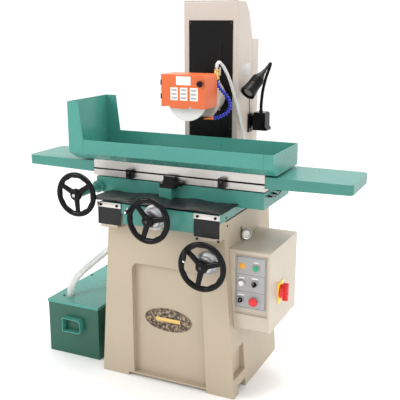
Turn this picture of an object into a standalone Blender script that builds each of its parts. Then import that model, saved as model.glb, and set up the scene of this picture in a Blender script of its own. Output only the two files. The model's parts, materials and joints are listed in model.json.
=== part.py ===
"""Surface grinder: a machine tool that grinds flat faces with a wheel on a horizontal spindle.

Every value is in metres. +X is to the operator's right, +Y runs from the operator to the column,
+Z is up and the floor is z = 0. Y is counted from the table's centre line, and machine_frame
then shifts the whole machine so that its box is centred on the origin.
"""
import math

import bmesh
import bpy
from mathutils import Matrix, Vector

# ---------------------------------------------------------------- driving dimensions
GAP = 0.0003                  # clearance between pieces that touch
FRAME_SHIFT_Y = -0.045        # puts the machine's plan box on the origin

FLOOR_HALF_WIDTH = 0.361      # base casting at the floor
TOP_HALF_WIDTH = 0.305        # base casting under the ways
BASE_FRONT = -0.260
BASE_REAR = 0.330
TAPER_TOP = 0.771             # height at which the base stops tapering
BASE_TOP = 0.860
WAY_TOP = 0.867               # top of the cross ways, where the saddle slides
PEDESTAL_REAR = 0.560

SADDLE_FRONT = -0.330
SADDLE_BODY_FRONT = -0.147
SADDLE_DECK = 0.911
SADDLE_TOP = 0.985
RAIL_TOP = 0.9902             # top of the table rails

TABLE_HALF_LENGTH = 0.449
TABLE_HALF_WIDTH = 0.147
TABLE_BOTTOM = 0.9905
TABLE_TOP = 1.069
T_SLOT_HEIGHT = 1.025
WING_TIP = 0.844
WING_TOP = 1.061

TRAY_RIM = 1.170
TRAY_SHEET = 0.003
GUARD_TOP = 1.354

COLUMN_HALF_WIDTH = 0.1495
COLUMN_FRONT = 0.263
COLUMN_REAR = 0.457
COLUMN_TOP = 1.831

SPINDLE_HEIGHT = 1.367
WHEEL_RADIUS = 0.100

CROSS_FEED = (0.0, 0.873)         # x and z of the cross feed screw
PINION = (-0.420, 0.936)          # x and z of the table drive shaft
ELEVATING = (0.250, 0.685)        # x and z of the elevating shaft
ELEVATING_SCREW = (0.095, 0.3125)  # x and y of the elevating screw

# ---------------------------------------------------------------- scene and collections
for old in list(bpy.data.objects):
    bpy.data.objects.remove(old)

parts = bpy.data.collections.new("surface_grinder")
cutters = bpy.data.collections.new("cutters")
cutters.hide_render = True
bpy.context.scene.collection.children.link(parts)
bpy.context.scene.collection.children.link(cutters)

machine_frame = bpy.data.objects.new("machine_frame", None)
machine_frame.location = (0.0, FRAME_SHIFT_Y, 0.0)
parts.objects.link(machine_frame)


def material(name, colour, roughness, metallic=0.0):
    """One Principled material for one sub-part."""
    made = bpy.data.materials.new(name)
    made.use_nodes = True
    shader = made.node_tree.nodes["Principled BSDF"]
    shader.inputs["Base Color"].default_value = (*colour, 1.0)
    shader.inputs["Roughness"].default_value = roughness
    shader.inputs["Metallic"].default_value = metallic
    return made


CREAM = ((0.62, 0.54, 0.43), 0.45, 0.0)
GREEN = ((0.10, 0.36, 0.29), 0.40, 0.0)
DARK_GREEN = ((0.05, 0.20, 0.15), 0.45, 0.0)
BLACK = ((0.02, 0.02, 0.022), 0.35, 0.0)
RUBBER = ((0.03, 0.03, 0.032), 0.75, 0.0)
STEEL = ((0.60, 0.60, 0.61), 0.30, 1.0)
CHROME = ((0.75, 0.75, 0.76), 0.12, 1.0)
BRASS = ((0.70, 0.50, 0.20), 0.25, 1.0)
ORANGE = ((0.95, 0.25, 0.07), 0.40, 0.0)
GREY = ((0.45, 0.46, 0.48), 0.40, 0.0)
WHITE = ((0.85, 0.85, 0.83), 0.50, 0.0)
RED = ((0.70, 0.02, 0.02), 0.35, 0.0)
BUTTON_GREEN = ((0.02, 0.40, 0.15), 0.35, 0.0)
BLUE = ((0.03, 0.06, 0.45), 0.40, 0.0)


# ---------------------------------------------------------------- shape helpers
def link(name, data):
    """A new object on machine_frame; it is a sub-part until it is used as a tool."""
    made = bpy.data.objects.new(name, data)
    made.parent = machine_frame
    parts.objects.link(made)
    return made


def box(name, low, high):
    """A block between two corners."""
    mesh = bpy.data.meshes.new(name)
    shape = bmesh.new()
    size = [b - a for a, b in zip(low, high)]
    bmesh.ops.create_cube(shape, size=1.0, matrix=Matrix.Diagonal((*size, 1.0)))
    shape.to_mesh(mesh)
    shape.free()
    made = link(name, mesh)
    made.location = [(a + b) / 2 for a, b in zip(low, high)]
    return made


AXIS_TURN = {
    "X": (math.pi / 2, 0.0, math.pi / 2),
    "Y": (math.pi / 2, 0.0, 0.0),
    "Z": (0.0, 0.0, 0.0),
}


def to_mesh(made):
    """Turns a curve object into a mesh object with the same name and place."""
    name = made.name
    made.name = name + "_curve"
    bpy.context.view_layer.update()
    evaluated = made.evaluated_get(bpy.context.evaluated_depsgraph_get())
    mesh = bpy.data.meshes.new_from_object(evaluated)
    shape = bmesh.new()
    shape.from_mesh(mesh)
    bmesh.ops.remove_doubles(shape, verts=shape.verts, dist=0.00001)
    shape.to_mesh(mesh)
    shape.free()
    mesh.transform(made.matrix_basis)
    bpy.data.objects.remove(made)
    return link(name, mesh)


def prism(name, outline, axis, start, end):
    """A flat outline pushed along one axis. Outline pairs are (y, z), (x, z) or (x, y)."""
    curve = bpy.data.curves.new(name, "CURVE")
    curve.dimensions = "2D"
    curve.fill_mode = "BOTH"
    curve.extrude = (end - start) / 2
    spline = curve.splines.new("POLY")
    spline.points.add(len(outline) - 1)
    spline.use_cyclic_u = True
    for point, (u, v) in zip(spline.points, outline):
        point.co = (u, v, 0.0, 1.0)
    made = link(name, curve)
    made.rotation_euler = AXIS_TURN[axis]
    middle = (start + end) / 2
    made.location = [middle if letter == axis else 0.0 for letter in "XYZ"]
    return to_mesh(made)


def turned(name, profile, axis, centre, steps=20):
    """A turned piece. The profile is (radius, distance along the axis from the centre)."""
    mesh = bpy.data.meshes.new(name)
    points = [(radius, 0.0, along) for radius, along in profile]
    count = len(points)
    closed = profile[0][0] > 0.0
    edges = [(i, (i + 1) % count) for i in range(count if closed else count - 1)]
    mesh.from_pydata(points, edges, [])
    made = link(name, mesh)
    screw = made.modifiers.new("turn", "SCREW")
    screw.steps = steps
    screw.render_steps = steps
    screw.use_merge_vertices = True
    screw.merge_threshold = 0.0001
    made.rotation_euler = {
        "X": (0.0, math.pi / 2, 0.0),
        "Y": (-math.pi / 2, 0.0, 0.0),
        "Z": (0.0, 0.0, 0.0),
    }[axis]
    made.location = centre
    return made


def rod(name, radius, axis, centre, length, steps=16):
    """A plain round bar that starts at its centre point and runs along the axis."""
    profile = [(0.0, length), (radius, length), (radius, 0.0), (0.0, 0.0)]
    return turned(name, profile, axis, centre, steps)


def ring(name, outer, inner, axis, centre, length, steps=20):
    """A plain sleeve."""
    profile = [(outer, length), (outer, 0.0), (inner, 0.0), (inner, length)]
    return turned(name, profile, axis, centre, steps)


def tube(name, points, radius, resolution=2, radii=None):
    """A round solid along a run of points."""
    curve = bpy.data.curves.new(name, "CURVE")
    curve.dimensions = "3D"
    curve.bevel_depth = radius
    curve.bevel_resolution = resolution
    curve.use_fill_caps = True
    spline = curve.splines.new("POLY")
    spline.points.add(len(points) - 1)
    for i, (point, place) in enumerate(zip(spline.points, points)):
        point.co = (*place, 1.0)
        if radii:
            point.radius = radii[i]
    return to_mesh(link(name, curve))


def smooth_run(points, steps):
    """Points along a smooth Catmull-Rom curve through the given points."""
    places = [Vector(p) for p in points]
    ends = [places[0] * 2 - places[1]] + places + [places[-1] * 2 - places[-2]]
    run = []
    for before, here, there, after in zip(ends, ends[1:], ends[2:], ends[3:]):
        for step in range(steps):
            t = step / steps
            run.append(
                0.5 * (2 * here + (there - before) * t
                       + (2 * before - 5 * here + 4 * there - after) * t ** 2
                       + (3 * here - before - 3 * there + after) * t ** 3)
            )
    run.append(places[-1])
    return run


def combine(target, operation, tools):
    """Applies solids to a sub-part, each one kept as a hidden tool."""
    for tool in tools:
        parts.objects.unlink(tool)
        cutters.objects.link(tool)
        tool.hide_render = True
        tool.display_type = "WIRE"
        modifier = target.modifiers.new(operation.lower(), "BOOLEAN")
        modifier.operation = operation
        modifier.solver = "EXACT"
        modifier.object = tool
    return target


def add(target, *tools):
    return combine(target, "UNION", tools)


def cut(target, *tools):
    return combine(target, "DIFFERENCE", tools)


def paint(made, look):
    """Gives a finished sub-part a material of its own."""
    made.data.materials.clear()
    made.data.materials.append(material(made.name, *look))
    return made


def pivot_at(made, place):
    """Moves a mesh's origin onto its joint axis without moving the piece."""
    offset = Vector(place) - made.location
    made.data.transform(Matrix.Translation(-offset))
    made.location = place
    return made


# ---------------------------------------------------------------- base and column
def base_casting():
    """Hollow floor casting with a recessed front, a rear pedestal and two cross ways."""
    outline = [
        (-FLOOR_HALF_WIDTH, 0.0),
        (FLOOR_HALF_WIDTH, 0.0),
        (TOP_HALF_WIDTH, TAPER_TOP),
        (TOP_HALF_WIDTH, BASE_TOP),
        (-TOP_HALF_WIDTH, BASE_TOP),
        (-TOP_HALF_WIDTH, TAPER_TOP),
    ]
    base = prism("base_casting", outline, "Y", BASE_FRONT, BASE_REAR)
    add(base, box("pedestal", (-0.190, 0.250, 0.0), (0.190, PEDESTAL_REAR, WAY_TOP)))
    add(base, rod("elevating_boss", 0.034, "Y", (ELEVATING[0], -0.3190, ELEVATING[1]), 0.065))
    horn = [(-0.250, 0.782), (-0.325, 0.788), (-0.325, WAY_TOP), (-0.250, WAY_TOP)]
    for side in (-1, 1):
        ends = sorted((side * 0.210, side * 0.3045))
        add(base, prism("horn", horn, "X", *ends))
        ends = sorted((side * 0.215, side * 0.290))
        add(base, box("cross_way", (ends[0], -0.322, 0.850), (ends[1], 0.322, WAY_TOP)))
    add(base, box("nut_bracket", (-0.014, 0.0, 0.850), (0.014, 0.030, 0.888)))

    cavity = [(-0.333, -0.01), (0.333, -0.01), (0.275, 0.765), (0.275, 0.830),
              (-0.275, 0.830), (-0.275, 0.765)]
    cut(base, prism("cavity", cavity, "Y", -0.205, 0.305))
    upper = [(-0.330, 0.250), (0.330, 0.250), (0.2925, 0.765), (0.2925, 0.830),
             (-0.2925, 0.830), (-0.2925, 0.765)]
    cut(base, prism("upper_cavity", upper, "Y", -0.217, 0.316))
    cut(base, box("pedestal_cavity", (-0.177, 0.280, -0.010), (0.177, 0.547, 0.840)))

    radius = 0.035
    corner = [(math.cos(a), math.sin(a)) for a in (0.0, 0.524, 1.047, 1.571)]
    recess = [(-0.180, 0.025), (0.215, 0.025)]
    recess += [(0.190 - radius + radius * c, 0.605 - radius + radius * s) for c, s in corner]
    recess += [(radius - 0.180 - radius * c, 0.605 - radius + radius * s)
               for c, s in reversed(corner)]
    cut(base, prism("front_recess", recess, "Y", BASE_FRONT - 0.010, BASE_FRONT + 0.030))
    cut(base, box("floor_arch", (-0.212, -0.270, -0.010), (0.216, -0.190, 0.018)))
    cut(base, box("apron_notch", (-0.200, -0.270, 0.800), (0.200, -0.195, 0.880)))
    window = [(-0.250, 0.090), (-0.110, 0.090), (-0.113, 0.228), (-0.250, 0.222)]
    for side in (-1, 1):
        ends = sorted((side * 0.400, side * 0.328))
        cut(base, prism("side_window", window, "X", *ends))
        ends = sorted((side * 0.400, side * 0.310))
        cut(base, box("side_notch", (ends[0], -0.205, -0.010), (ends[1], -0.110, 0.042)))
    cut(base, rod("shaft_hole", 0.0103, "Y", (ELEVATING[0], -0.340, ELEVATING[1]), 0.16))
    cut(base, rod("screw_hole", 0.0140, "Z", (*ELEVATING_SCREW, 0.80), 0.10))
    cut(base, rod("nut_hole", 0.0093, "Y", (CROSS_FEED[0], -0.02, CROSS_FEED[1]), 0.08))
    return paint(base, CREAM)


def front_plaque():
    """Blank oval casting badge in the front recess."""
    outline = [(0.126 * math.cos(math.tau * i / 32), 0.325 + 0.058 * math.sin(math.tau * i / 32))
               for i in range(32)]
    floor = BASE_FRONT + 0.030
    return paint(prism("front_plaque", outline, "Y", floor - 0.0043, floor - GAP), BRASS)


def column_casting():
    """Upright casting, open at the rear, with a slot in front for the spindle carriage."""
    outline = [
        (COLUMN_FRONT, WAY_TOP + GAP),
        (COLUMN_FRONT, COLUMN_TOP - 0.006),
        (COLUMN_FRONT + 0.006, COLUMN_TOP),
        (0.360, COLUMN_TOP),
        (0.385, 0.986 * COLUMN_TOP),
        (0.411, 1.776),
        (COLUMN_REAR, 1.649),
        (COLUMN_REAR, WAY_TOP + GAP),
    ]
    column = prism("column_casting", outline, "X", -COLUMN_HALF_WIDTH, COLUMN_HALF_WIDTH)
    inside = [(0.285, 0.850), (0.285, 1.809), (0.355, 1.809), (0.392, 1.765),
              (0.435, 1.640), (0.470, 1.600), (0.470, 0.850)]
    cut(column, prism("column_cavity", inside, "X", -0.1275, 0.1275))
    cut(column, box("carriage_slot", (-0.064, 0.250, 0.990), (0.064, 0.300, 1.720)))
    return paint(column, CREAM)


def column_rear_cover():
    """Sheet cover over the motor at the column's rear."""
    cover = box("column_rear_cover", (-COLUMN_HALF_WIDTH, COLUMN_REAR + GAP, WAY_TOP + GAP),
                (COLUMN_HALF_WIDTH, 0.544, 1.644))
    inside = box("cover_inside", (-0.1465, 0.440, 0.8703), (0.1465, 0.541, 1.641))
    return paint(cut(cover, inside), CREAM)


def column_way_cover():
    """Black plate on the column's front, open behind the sliding slot cover."""
    cover = box("column_way_cover", (-0.120, 0.2605, 0.900), (0.120, COLUMN_FRONT - GAP, 1.735))
    cut(cover, box("way_cover_slot", (-0.060, 0.250, 1.215), (0.060, 0.270, 1.515)))
    return paint(cover, BLACK)


# ---------------------------------------------------------------- electrical box and controls
PANEL_BACK = -0.2033
PANEL_FRONT = PANEL_BACK - 0.003
BEZEL_FRONT = PANEL_FRONT - 0.007
CONTROLS = {
    "start_button": (0.439, 0.650),
    "white_button": (0.370, 0.570),
    "coolant_switch": (0.433, 0.573),
    "mode_selector": (0.366, 0.488),
    "emergency_stop": (0.432, 0.490),
}


def electrical_box():
    """Cabinet on the base's right side with a canopy edge round its recessed front."""
    side = [(-0.215, 0.728), (-0.215, 0.350), (-0.200, 0.338), (0.180, 0.338), (0.180, 0.728)]
    cabinet = prism("electrical_box", side, "X", 0.290, 0.508)
    slope = (FLOOR_HALF_WIDTH - TOP_HALF_WIDTH) / TAPER_TOP
    casting = [(0.250, 0.300), (FLOOR_HALF_WIDTH - 0.300 * slope + GAP, 0.300),
               (FLOOR_HALF_WIDTH - 0.760 * slope + GAP, 0.760), (0.250, 0.760)]
    cut(cabinet, prism("base_side", casting, "Y", -0.300, 0.300))
    cut(cabinet, box("panel_recess", (0.338, -0.230, 0.420), (0.498, PANEL_BACK + GAP, 0.712)))
    cut(cabinet, box("cabinet_inside", (0.250, PANEL_BACK + 0.0030, 0.3410), (0.505, 0.177, 0.725)))
    return paint(cabinet, CREAM)


def control_panel():
    """Grey plate with one raised bezel round each control."""
    panel = box("control_panel", (0.342, PANEL_FRONT, 0.448), (0.486, PANEL_BACK, 0.700))
    for x, z in CONTROLS.values():
        add(panel, ring("bezel", 0.0165, 0.0125, "Y", (x, BEZEL_FRONT, z), 0.0080, 14))
    return paint(panel, GREY)


def push_button(name, look):
    """Spring-loaded push button."""
    x, z = CONTROLS[name]
    profile = [(0.0, 0.0100), (0.0115, 0.0100), (0.0120, 0.0090), (0.0120, 0.0010),
               (0.0110, 0.0), (0.0, 0.0)]
    return paint(turned(name, profile, "Y", (x, BEZEL_FRONT - 0.0060, z), 20), look)


def emergency_stop():
    """Mushroom-headed stop button."""
    x, z = CONTROLS["emergency_stop"]
    profile = [(0.0, 0.0205), (0.0115, 0.0205), (0.0115, 0.0130), (0.0200, 0.0115),
               (0.0210, 0.0080), (0.0185, 0.0020), (0.0120, 0.0), (0.0, 0.0)]
    return paint(turned("emergency_stop", profile, "Y", (x, BEZEL_FRONT - 0.0190, z)), RED)


def selector(name):
    """Rotary switch with a raised finger grip."""
    x, z = CONTROLS[name]
    knob = rod(name, 0.0120, "Y", (x, BEZEL_FRONT - 0.0030, z), 0.0085, 20)
    add(knob, box("grip", (x - 0.0035, BEZEL_FRONT - 0.0130, z - 0.0115),
                  (x + 0.0035, BEZEL_FRONT - 0.0020, z + 0.0115)))
    return paint(knob, BLACK)


def main_disconnect():
    """Red rotary isolator on the cabinet's right side."""
    centre = (0.508 + GAP, -0.060, 0.500)
    handle = rod("main_disconnect", 0.0300, "X", centre, 0.020)
    add(handle, box("isolator_grip", (0.520, centre[1] - 0.0110, centre[2] - 0.0430),
                    (0.548, centre[1] + 0.0110, centre[2] + 0.0430)))
    return paint(handle, RED)


# ---------------------------------------------------------------- coolant tank
def coolant_tank():
    """Open-topped sheet metal tank beside the base."""
    tank = box("coolant_tank", (-0.744, -0.188, 0.0), (-0.432, 0.401, 0.2917))
    cut(tank, box("tank_inside", (-0.740, -0.184, 0.004), (-0.436, 0.397, 0.300)))
    return paint(tank, DARK_GREEN)


def tank_lid():
    """Folded lid with openings for the pump and the drain hose."""
    lid = box("tank_lid", (-0.7475, -0.1915, 0.280), (-0.4285, 0.4045, 0.2950))
    cut(lid, box("lid_inside", (-0.7445, -0.1885, 0.270), (-0.4315, 0.4015, 0.2920)))
    cut(lid, rod("pump_hole", 0.0340, "Z", (-0.500, 0.300, 0.28), 0.03))
    cut(lid, rod("drain_hole", 0.0205, "Z", (-0.657, -0.105, 0.28), 0.03))
    return paint(lid, GREEN)


def tank_handle():
    """Pull handle on the tank's front, a flat strip bent into a frame."""
    def frame_form(name, inset, front, rear):
        """The frame's outer or inner outline, with clipped corners at the right."""
        left, right = inset - 0.640, -0.526 - inset
        low, high = 0.138 + inset, 0.214 - inset
        outline = [(left, low), (right - 0.012, low), (right, low + 0.014),
                   (right, high - 0.014), (right - 0.012, high), (left, high)]
        return prism(name, outline, "Y", front, rear)

    handle = frame_form("tank_handle", 0.0, -0.2200, -0.1883)
    return paint(cut(handle, frame_form("handle_inside", 0.0040, -0.2400, -0.1700)), DARK_GREEN)


def coolant_pump():
    """Immersion pump: motor above the lid, stem and impeller housing inside the tank."""
    profile = [(0.0, 0.435), (0.030, 0.435), (0.041, 0.428), (0.043, 0.420), (0.043, 0.345),
               (0.032, 0.340), (0.032, 0.303), (0.050, 0.303), (0.050, 0.2953), (0.016, 0.2953),
               (0.016, 0.110), (0.030, 0.110), (0.030, 0.070), (0.0, 0.070)]
    pump = turned("coolant_pump", profile, "Z", (-0.500, 0.300, 0.0), 20)
    add(pump, rod("outlet", 0.007, "X", (-0.475, 0.300, 0.322), 0.0400, 12))
    return paint(pump, BLACK)


def drain_hose():
    """Clear return hose from the tray's rear drain down into the tank."""
    route = [(-0.450, 0.182, 1.0845), (-0.450, 0.182, 1.076), (-0.450, 0.182, 1.060),
             (-0.456, 0.190, 1.000), (-0.459, 0.200, 0.910), (-0.463, 0.208, 0.810),
             (-0.470, 0.208, 0.710), (-0.488, 0.190, 0.615), (-0.522, 0.155, 0.545),
             (-0.562, 0.098, 0.492), (-0.598, 0.030, 0.450), (-0.630, -0.040, 0.408),
             (-0.650, -0.088, 0.364), (-0.657, -0.105, 0.320), (-0.657, -0.105, 0.285),
             (-0.657, -0.105, 0.250)]
    return paint(tube("drain_hose", smooth_run(route, 3), 0.0185), WHITE)


# ---------------------------------------------------------------- lamp
def lamp_mount():
    """Plate, transformer box and collar of the work lamp."""
    plate = box("lamp_mount", (COLUMN_HALF_WIDTH + GAP, 0.400, 1.165),
                (0.158, COLUMN_REAR - 0.003, 1.262))
    side = [(0.174, 1.176), (0.251, 1.176), (0.251, 1.188), (0.243, 1.196),
            (0.243, 1.262), (0.236, 1.270), (0.181, 1.270), (0.174, 1.262)]
    add(plate, box("bridge", (0.152, 0.428, 1.195), (0.180, 0.470, 1.250)))
    add(plate, prism("transformer", side, "Y", 0.4125, 0.4835))
    cut(plate, box("plate_relief", (0.140, 0.405, 1.14), (0.1535, 0.50, 1.30)))
    add(plate, rod("lamp_collar", 0.0100, "Z", (0.206, 0.450, 1.265), 0.0130, 16))
    return paint(plate, BLACK)


def lamp_gooseneck():
    """Flexible metal arm of the work lamp."""
    route = [(0.206, 0.450, 1.2783), (0.207, 0.450, 1.320), (0.214, 0.450, 1.383),
             (0.229, 0.450, 1.446), (0.242, 0.4495, 1.482), (0.252, 0.446, 1.508),
             (0.2573, 0.4385, 1.5204), (0.2554, 0.4330, 1.5208), (0.2520, 0.4245, 1.5130)]
    taper = [1.0] * 20 + [0.95, 0.90, 0.85, 0.80, 0.75]
    arm = tube("lamp_gooseneck", smooth_run(route, 3), 0.0085, 2, taper)
    return paint(pivot_at(arm, (0.206, 0.450, 1.2783)), BLACK)


def lamp_head():
    """Conical shade on a tapered neck, whose round end turns about the ball's centre."""
    start = Vector((0.2518, 0.4241, 1.5126))
    lens = Vector((0.194, 0.280, 1.380))
    ball = 0.0062
    pivot = start + (lens - start).normalized() * ball
    length = (lens - pivot).length
    round_end = [(ball * math.sin(math.radians(a)), -ball * math.cos(math.radians(a)))
                 for a in range(0, 91, 15)]
    profile = round_end + [(0.0075, 0.029), (0.0120, 0.054), (0.0250, 0.086),
                           (0.0320, 0.096), (0.0330, length - 0.050), (0.0390, length - 0.012),
                           (0.0400, length), (0.0360, length), (0.0345, length - 0.008),
                           (0.0, length - 0.008)]
    shade = turned("lamp_head", list(reversed(profile)), "Z", pivot)
    shade.rotation_euler = (lens - start).to_track_quat("Z", "Y").to_euler()
    return paint(shade, BLACK)


# ---------------------------------------------------------------- saddle
def saddle():
    """Cross slide: front deck, upper body with table rails, apron, stop pedestal and boss."""
    front, rear, relief = SADDLE_BODY_FRONT, 0.208, 0.165
    plan = [(-0.436, front), (0.448, front), (0.448, rear), (relief, rear), (relief, 0.150),
            (-relief, 0.150), (-relief, rear), (-0.436, rear)]
    body = prism("saddle", plan, "Z", 0.908, SADDLE_TOP)
    add(body, box("deck", (-TOP_HALF_WIDTH, SADDLE_FRONT, WAY_TOP + GAP),
                  (TOP_HALF_WIDTH, 0.150, SADDLE_DECK)))
    add(body, box("apron", (-0.180, SADDLE_FRONT, 0.817), (0.185, -0.290, 0.880)))
    add(body, box("stop_pedestal", (-0.066, -0.185, 0.907), (0.0, -0.140, 0.9697)))
    add(body, rod("drive_boss", 0.031, "Y", (PINION[0], -0.168, PINION[1]), 0.030))
    add(body, rod("feed_bearing", 0.036, "Y", (CROSS_FEED[0], -0.338, CROSS_FEED[1]), 0.020))
    for y in (-0.120, 0.070):
        add(body, box("table_rail", (-0.405, y, 0.980), (0.425, y + 0.050, RAIL_TOP)))
    cut(body, rod("pinion_bore", 0.0083, "Y", (PINION[0], -0.180, PINION[1]), 0.240))
    cut(body, box("rack_groove", (-0.450, 0.010, 0.946), (-0.090, 0.054, 1.000)))
    cut(body, box("pinion_pocket", (-0.450, 0.010, 0.920), (-0.4035, 0.054, 0.950)))
    cut(body, box("nut_channel", (-0.018, -0.270, 0.850), (0.018, 0.160, 0.8935)))
    cut(body, box("left_pocket", (-0.200, -0.130, 0.850), (-0.040, 0.000, 0.960)))
    cut(body, box("right_pocket", (0.040, -0.130, 0.850), (0.200, 0.135, 0.960)))
    cut(body, box("end_pocket", (0.318, -0.133, 0.900), (0.436, 0.196, 0.960)))
    cut(body, rod("feed_bore", 0.0093, "Y", (CROSS_FEED[0], -0.350, CROSS_FEED[1]), 0.090))
    return paint(body, GREEN)


def shaft_tube():
    """Housing of the table drive shaft."""
    profile = [(0.0195, 0.1615), (0.0195, 0.0060), (0.0180, 0.0), (0.0083, 0.0), (0.0083, 0.1615)]
    return paint(turned("shaft_tube", profile, "Y", (PINION[0], -0.330, PINION[1])), GREEN)


def table_stop():
    """Reversing stop between the two trip dogs."""
    stop = box("table_stop", (-0.064, -0.184, 0.970), (0.018, -0.152, 0.992))
    add(stop, box("stop_lever", (-0.050, -0.180, 0.985), (0.049, -0.156, 1.006)))
    add(stop, box("stop_finger", (-0.045, -0.178, 1.000), (0.012, -0.158, 1.027)))
    return paint(stop, BLACK)


def way_flap(name, side):
    """Rubber way wiper that hangs in front of the ways."""
    x = 0.250 * side
    flap = box(name, (x - 0.0615, SADDLE_FRONT - 0.0035, 0.806),
               (x + 0.0615, SADDLE_FRONT - GAP, 0.9105))
    return paint(flap, RUBBER)


def way_cover_sheet():
    """Loose rubber sheet over the saddle's front deck."""
    left, right = -0.352, 0.326
    count = 24
    top = []
    for i in range(count + 1):
        x = left + (right - left) * i / count
        wave = 0.0035 * math.sin(19.0 * x) + 0.0025 * math.sin(41.0 * x + 1.0)
        top.append((x, SADDLE_DECK + 0.0095 + wave))
    bottom = [(x, z - 0.0025) for x, z in reversed(top)]
    sheet = prism("way_cover_sheet", top + bottom, "Y", SADDLE_FRONT - 0.0030, -0.1475)
    cut(sheet, box("sheet_notch", (-0.067, -0.187, 0.890), (0.001, -0.140, 0.950)))
    return paint(sheet, RUBBER)


# ---------------------------------------------------------------- handwheels and screws
def handwheel(name, centre, radius, bore):
    """Three-spoked handwheel with a round rim, turned about Y."""
    rim = 0.0100
    circle = [(radius - rim + rim * math.cos(math.tau * i / 6),
               rim * math.sin(math.tau * i / 6)) for i in range(6)]
    wheel = turned(name, circle[::-1], "Y", centre, 30)
    hub = [(0.0200, 0.018), (0.0240, 0.012), (0.0240, -0.012), (0.0190, -0.018),
           (bore, -0.018), (bore, 0.018)]
    add(wheel, turned("hub", hub, "Y", centre))
    for i in range(3):
        angle = math.radians(90.0 + 40.0 + 120.0 * i)
        outward = Vector((math.cos(angle), 0.0, math.sin(angle)))
        start = Vector(centre) + outward * 0.0180
        end = Vector(centre) + outward * (radius - rim)
        add(wheel, tube("spoke", [start, end], 0.0090, 1, [1.15, 0.85]))
    return paint(wheel, BLACK)


def feed_dial(name, x, z, rear, bore, outer):
    """Graduated dial behind a handwheel."""
    profile = [(outer * 0.72, -0.044), (outer * 0.72, -0.020), (outer, -0.016), (outer, 0.0),
               (bore, 0.0), (bore, -0.044)]
    return paint(turned(name, profile[::-1], "Y", (x, rear, z), 24), CHROME)


def cross_feed_screw():
    """Cross feed screw, carried by the apron and driving a nut on the base."""
    profile = [(0.0, 0.570), (0.0080, 0.570), (0.0090, 0.565), (0.0090, 0.004),
               (0.0080, 0.0), (0.0, 0.0)]
    return paint(turned("cross_feed_screw", profile, "Y",
                        (CROSS_FEED[0], -0.430, CROSS_FEED[1]), 20), STEEL)


def cross_feed_crank():
    """Revolving handle on the cross feed handwheel."""
    x, z = CROSS_FEED[0] - 0.083, CROSS_FEED[1] + 0.043
    profile = [(0.0, 0.038), (0.0075, 0.038), (0.0095, 0.030), (0.0090, 0.010),
               (0.0070, 0.002), (0.0040, 0.0), (0.0, 0.0)]
    return paint(turned("cross_feed_crank", profile, "Y", (x, -0.470, z), 16), BLACK)


def pinion_shaft():
    """Table drive shaft with its pinion under the rack."""
    profile = [(0.0, 0.424), (0.0115, 0.424), (0.0115, 0.390), (0.0080, 0.390), (0.0080, 0.0),
               (0.0, 0.0)]
    return paint(turned("pinion_shaft", profile, "Y", (PINION[0], -0.375, PINION[1]), 20), STEEL)


def elevating_shaft():
    """Shaft from the elevating handwheel into the base."""
    profile = [(0.0, 0.660), (0.0280, 0.660), (0.0280, 0.640), (0.0100, 0.640), (0.0100, 0.0),
               (0.0, 0.0)]
    return paint(turned("elevating_shaft", profile, "Y",
                        (ELEVATING[0], -0.400, ELEVATING[1]), 20), STEEL)


def elevating_crank():
    """Handle that folds flat against the elevating handwheel."""
    hinge = Vector((ELEVATING[0] - 0.080, -0.3985, ELEVATING[1] + 0.020))
    tip = hinge + Vector((0.012, -0.004, 0.060))
    run = [hinge, hinge.lerp(tip, 0.2), hinge.lerp(tip, 0.8), tip]
    handle = tube("elevating_crank", run, 0.0080, 1, [0.6, 0.8, 1.0, 0.7])
    return paint(pivot_at(handle, hinge), BLACK)


def elevating_screw():
    """Upright screw inside the column."""
    profile = [(0.0, 1.720), (0.0110, 1.720), (0.0110, 0.740), (0.0600, 0.740), (0.0500, 0.715),
               (0.0110, 0.715), (0.0110, 0.690), (0.0, 0.690)]
    return paint(turned("elevating_screw", profile, "Z", (*ELEVATING_SCREW, 0.0)), STEEL)


# ---------------------------------------------------------------- table
def table():
    """Machined table with a front T-slot for the dogs and a raised work platform."""
    block = box("table", (-TABLE_HALF_LENGTH, -TABLE_HALF_WIDTH, TABLE_BOTTOM),
                (TABLE_HALF_LENGTH, TABLE_HALF_WIDTH, TABLE_TOP))
    add(block, box("platform", (-0.445, -0.075, 1.060), (0.445, 0.075, 1.090)))
    cut(block, box("slot_mouth", (-0.460, -0.160, T_SLOT_HEIGHT - 0.004),
                   (0.460, -0.138, T_SLOT_HEIGHT + 0.004)))
    cut(block, box("slot_room", (-0.470, -0.1410, T_SLOT_HEIGHT - 0.008),
                   (0.470, -0.1345, T_SLOT_HEIGHT + 0.008)))
    cut(block, box("work_slot", (-0.460, -0.006, 1.076), (0.460, 0.006, 1.100)))
    cut(block, box("work_slot_room", (-0.470, -0.011, 1.070), (0.470, 0.011, 1.078)))
    cut(block, box("underside", (-0.200, -0.060, 0.980), (0.430, 0.060, 1.045)))
    return paint(block, STEEL)


def table_wing(name, side):
    """End shelf that tapers towards a rounded tip."""
    radius = 0.022
    near = TABLE_HALF_LENGTH + GAP
    plan = [(near, -TABLE_HALF_WIDTH), (WING_TIP - radius, -TABLE_HALF_WIDTH)]
    for angle in (22.5, 45.0, 67.5, 90.0):
        turn = math.radians(angle)
        plan.append((WING_TIP - radius + radius * math.sin(turn),
                     radius - TABLE_HALF_WIDTH - radius * math.cos(turn)))
    plan += [(x, -y) for x, y in reversed(plan)]
    plan = [(side * x, y) for x, y in plan]
    wing = prism(name, plan, "Z", 1.007, WING_TOP)
    wedge = [(side * x, z) for x, z in ((0.440, 0.990), (0.860, 0.990), (0.860, 1.0155),
                                        (0.440, 1.0068))]
    cut(wing, prism("taper", wedge, "Y", -0.200, 0.200))
    ends = sorted((side * 0.464, side * 0.826))
    cut(wing, box("underside", (ends[0], -0.133, 0.990), (ends[1], 0.133, WING_TOP - 0.012)))
    return paint(wing, GREEN)


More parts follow.
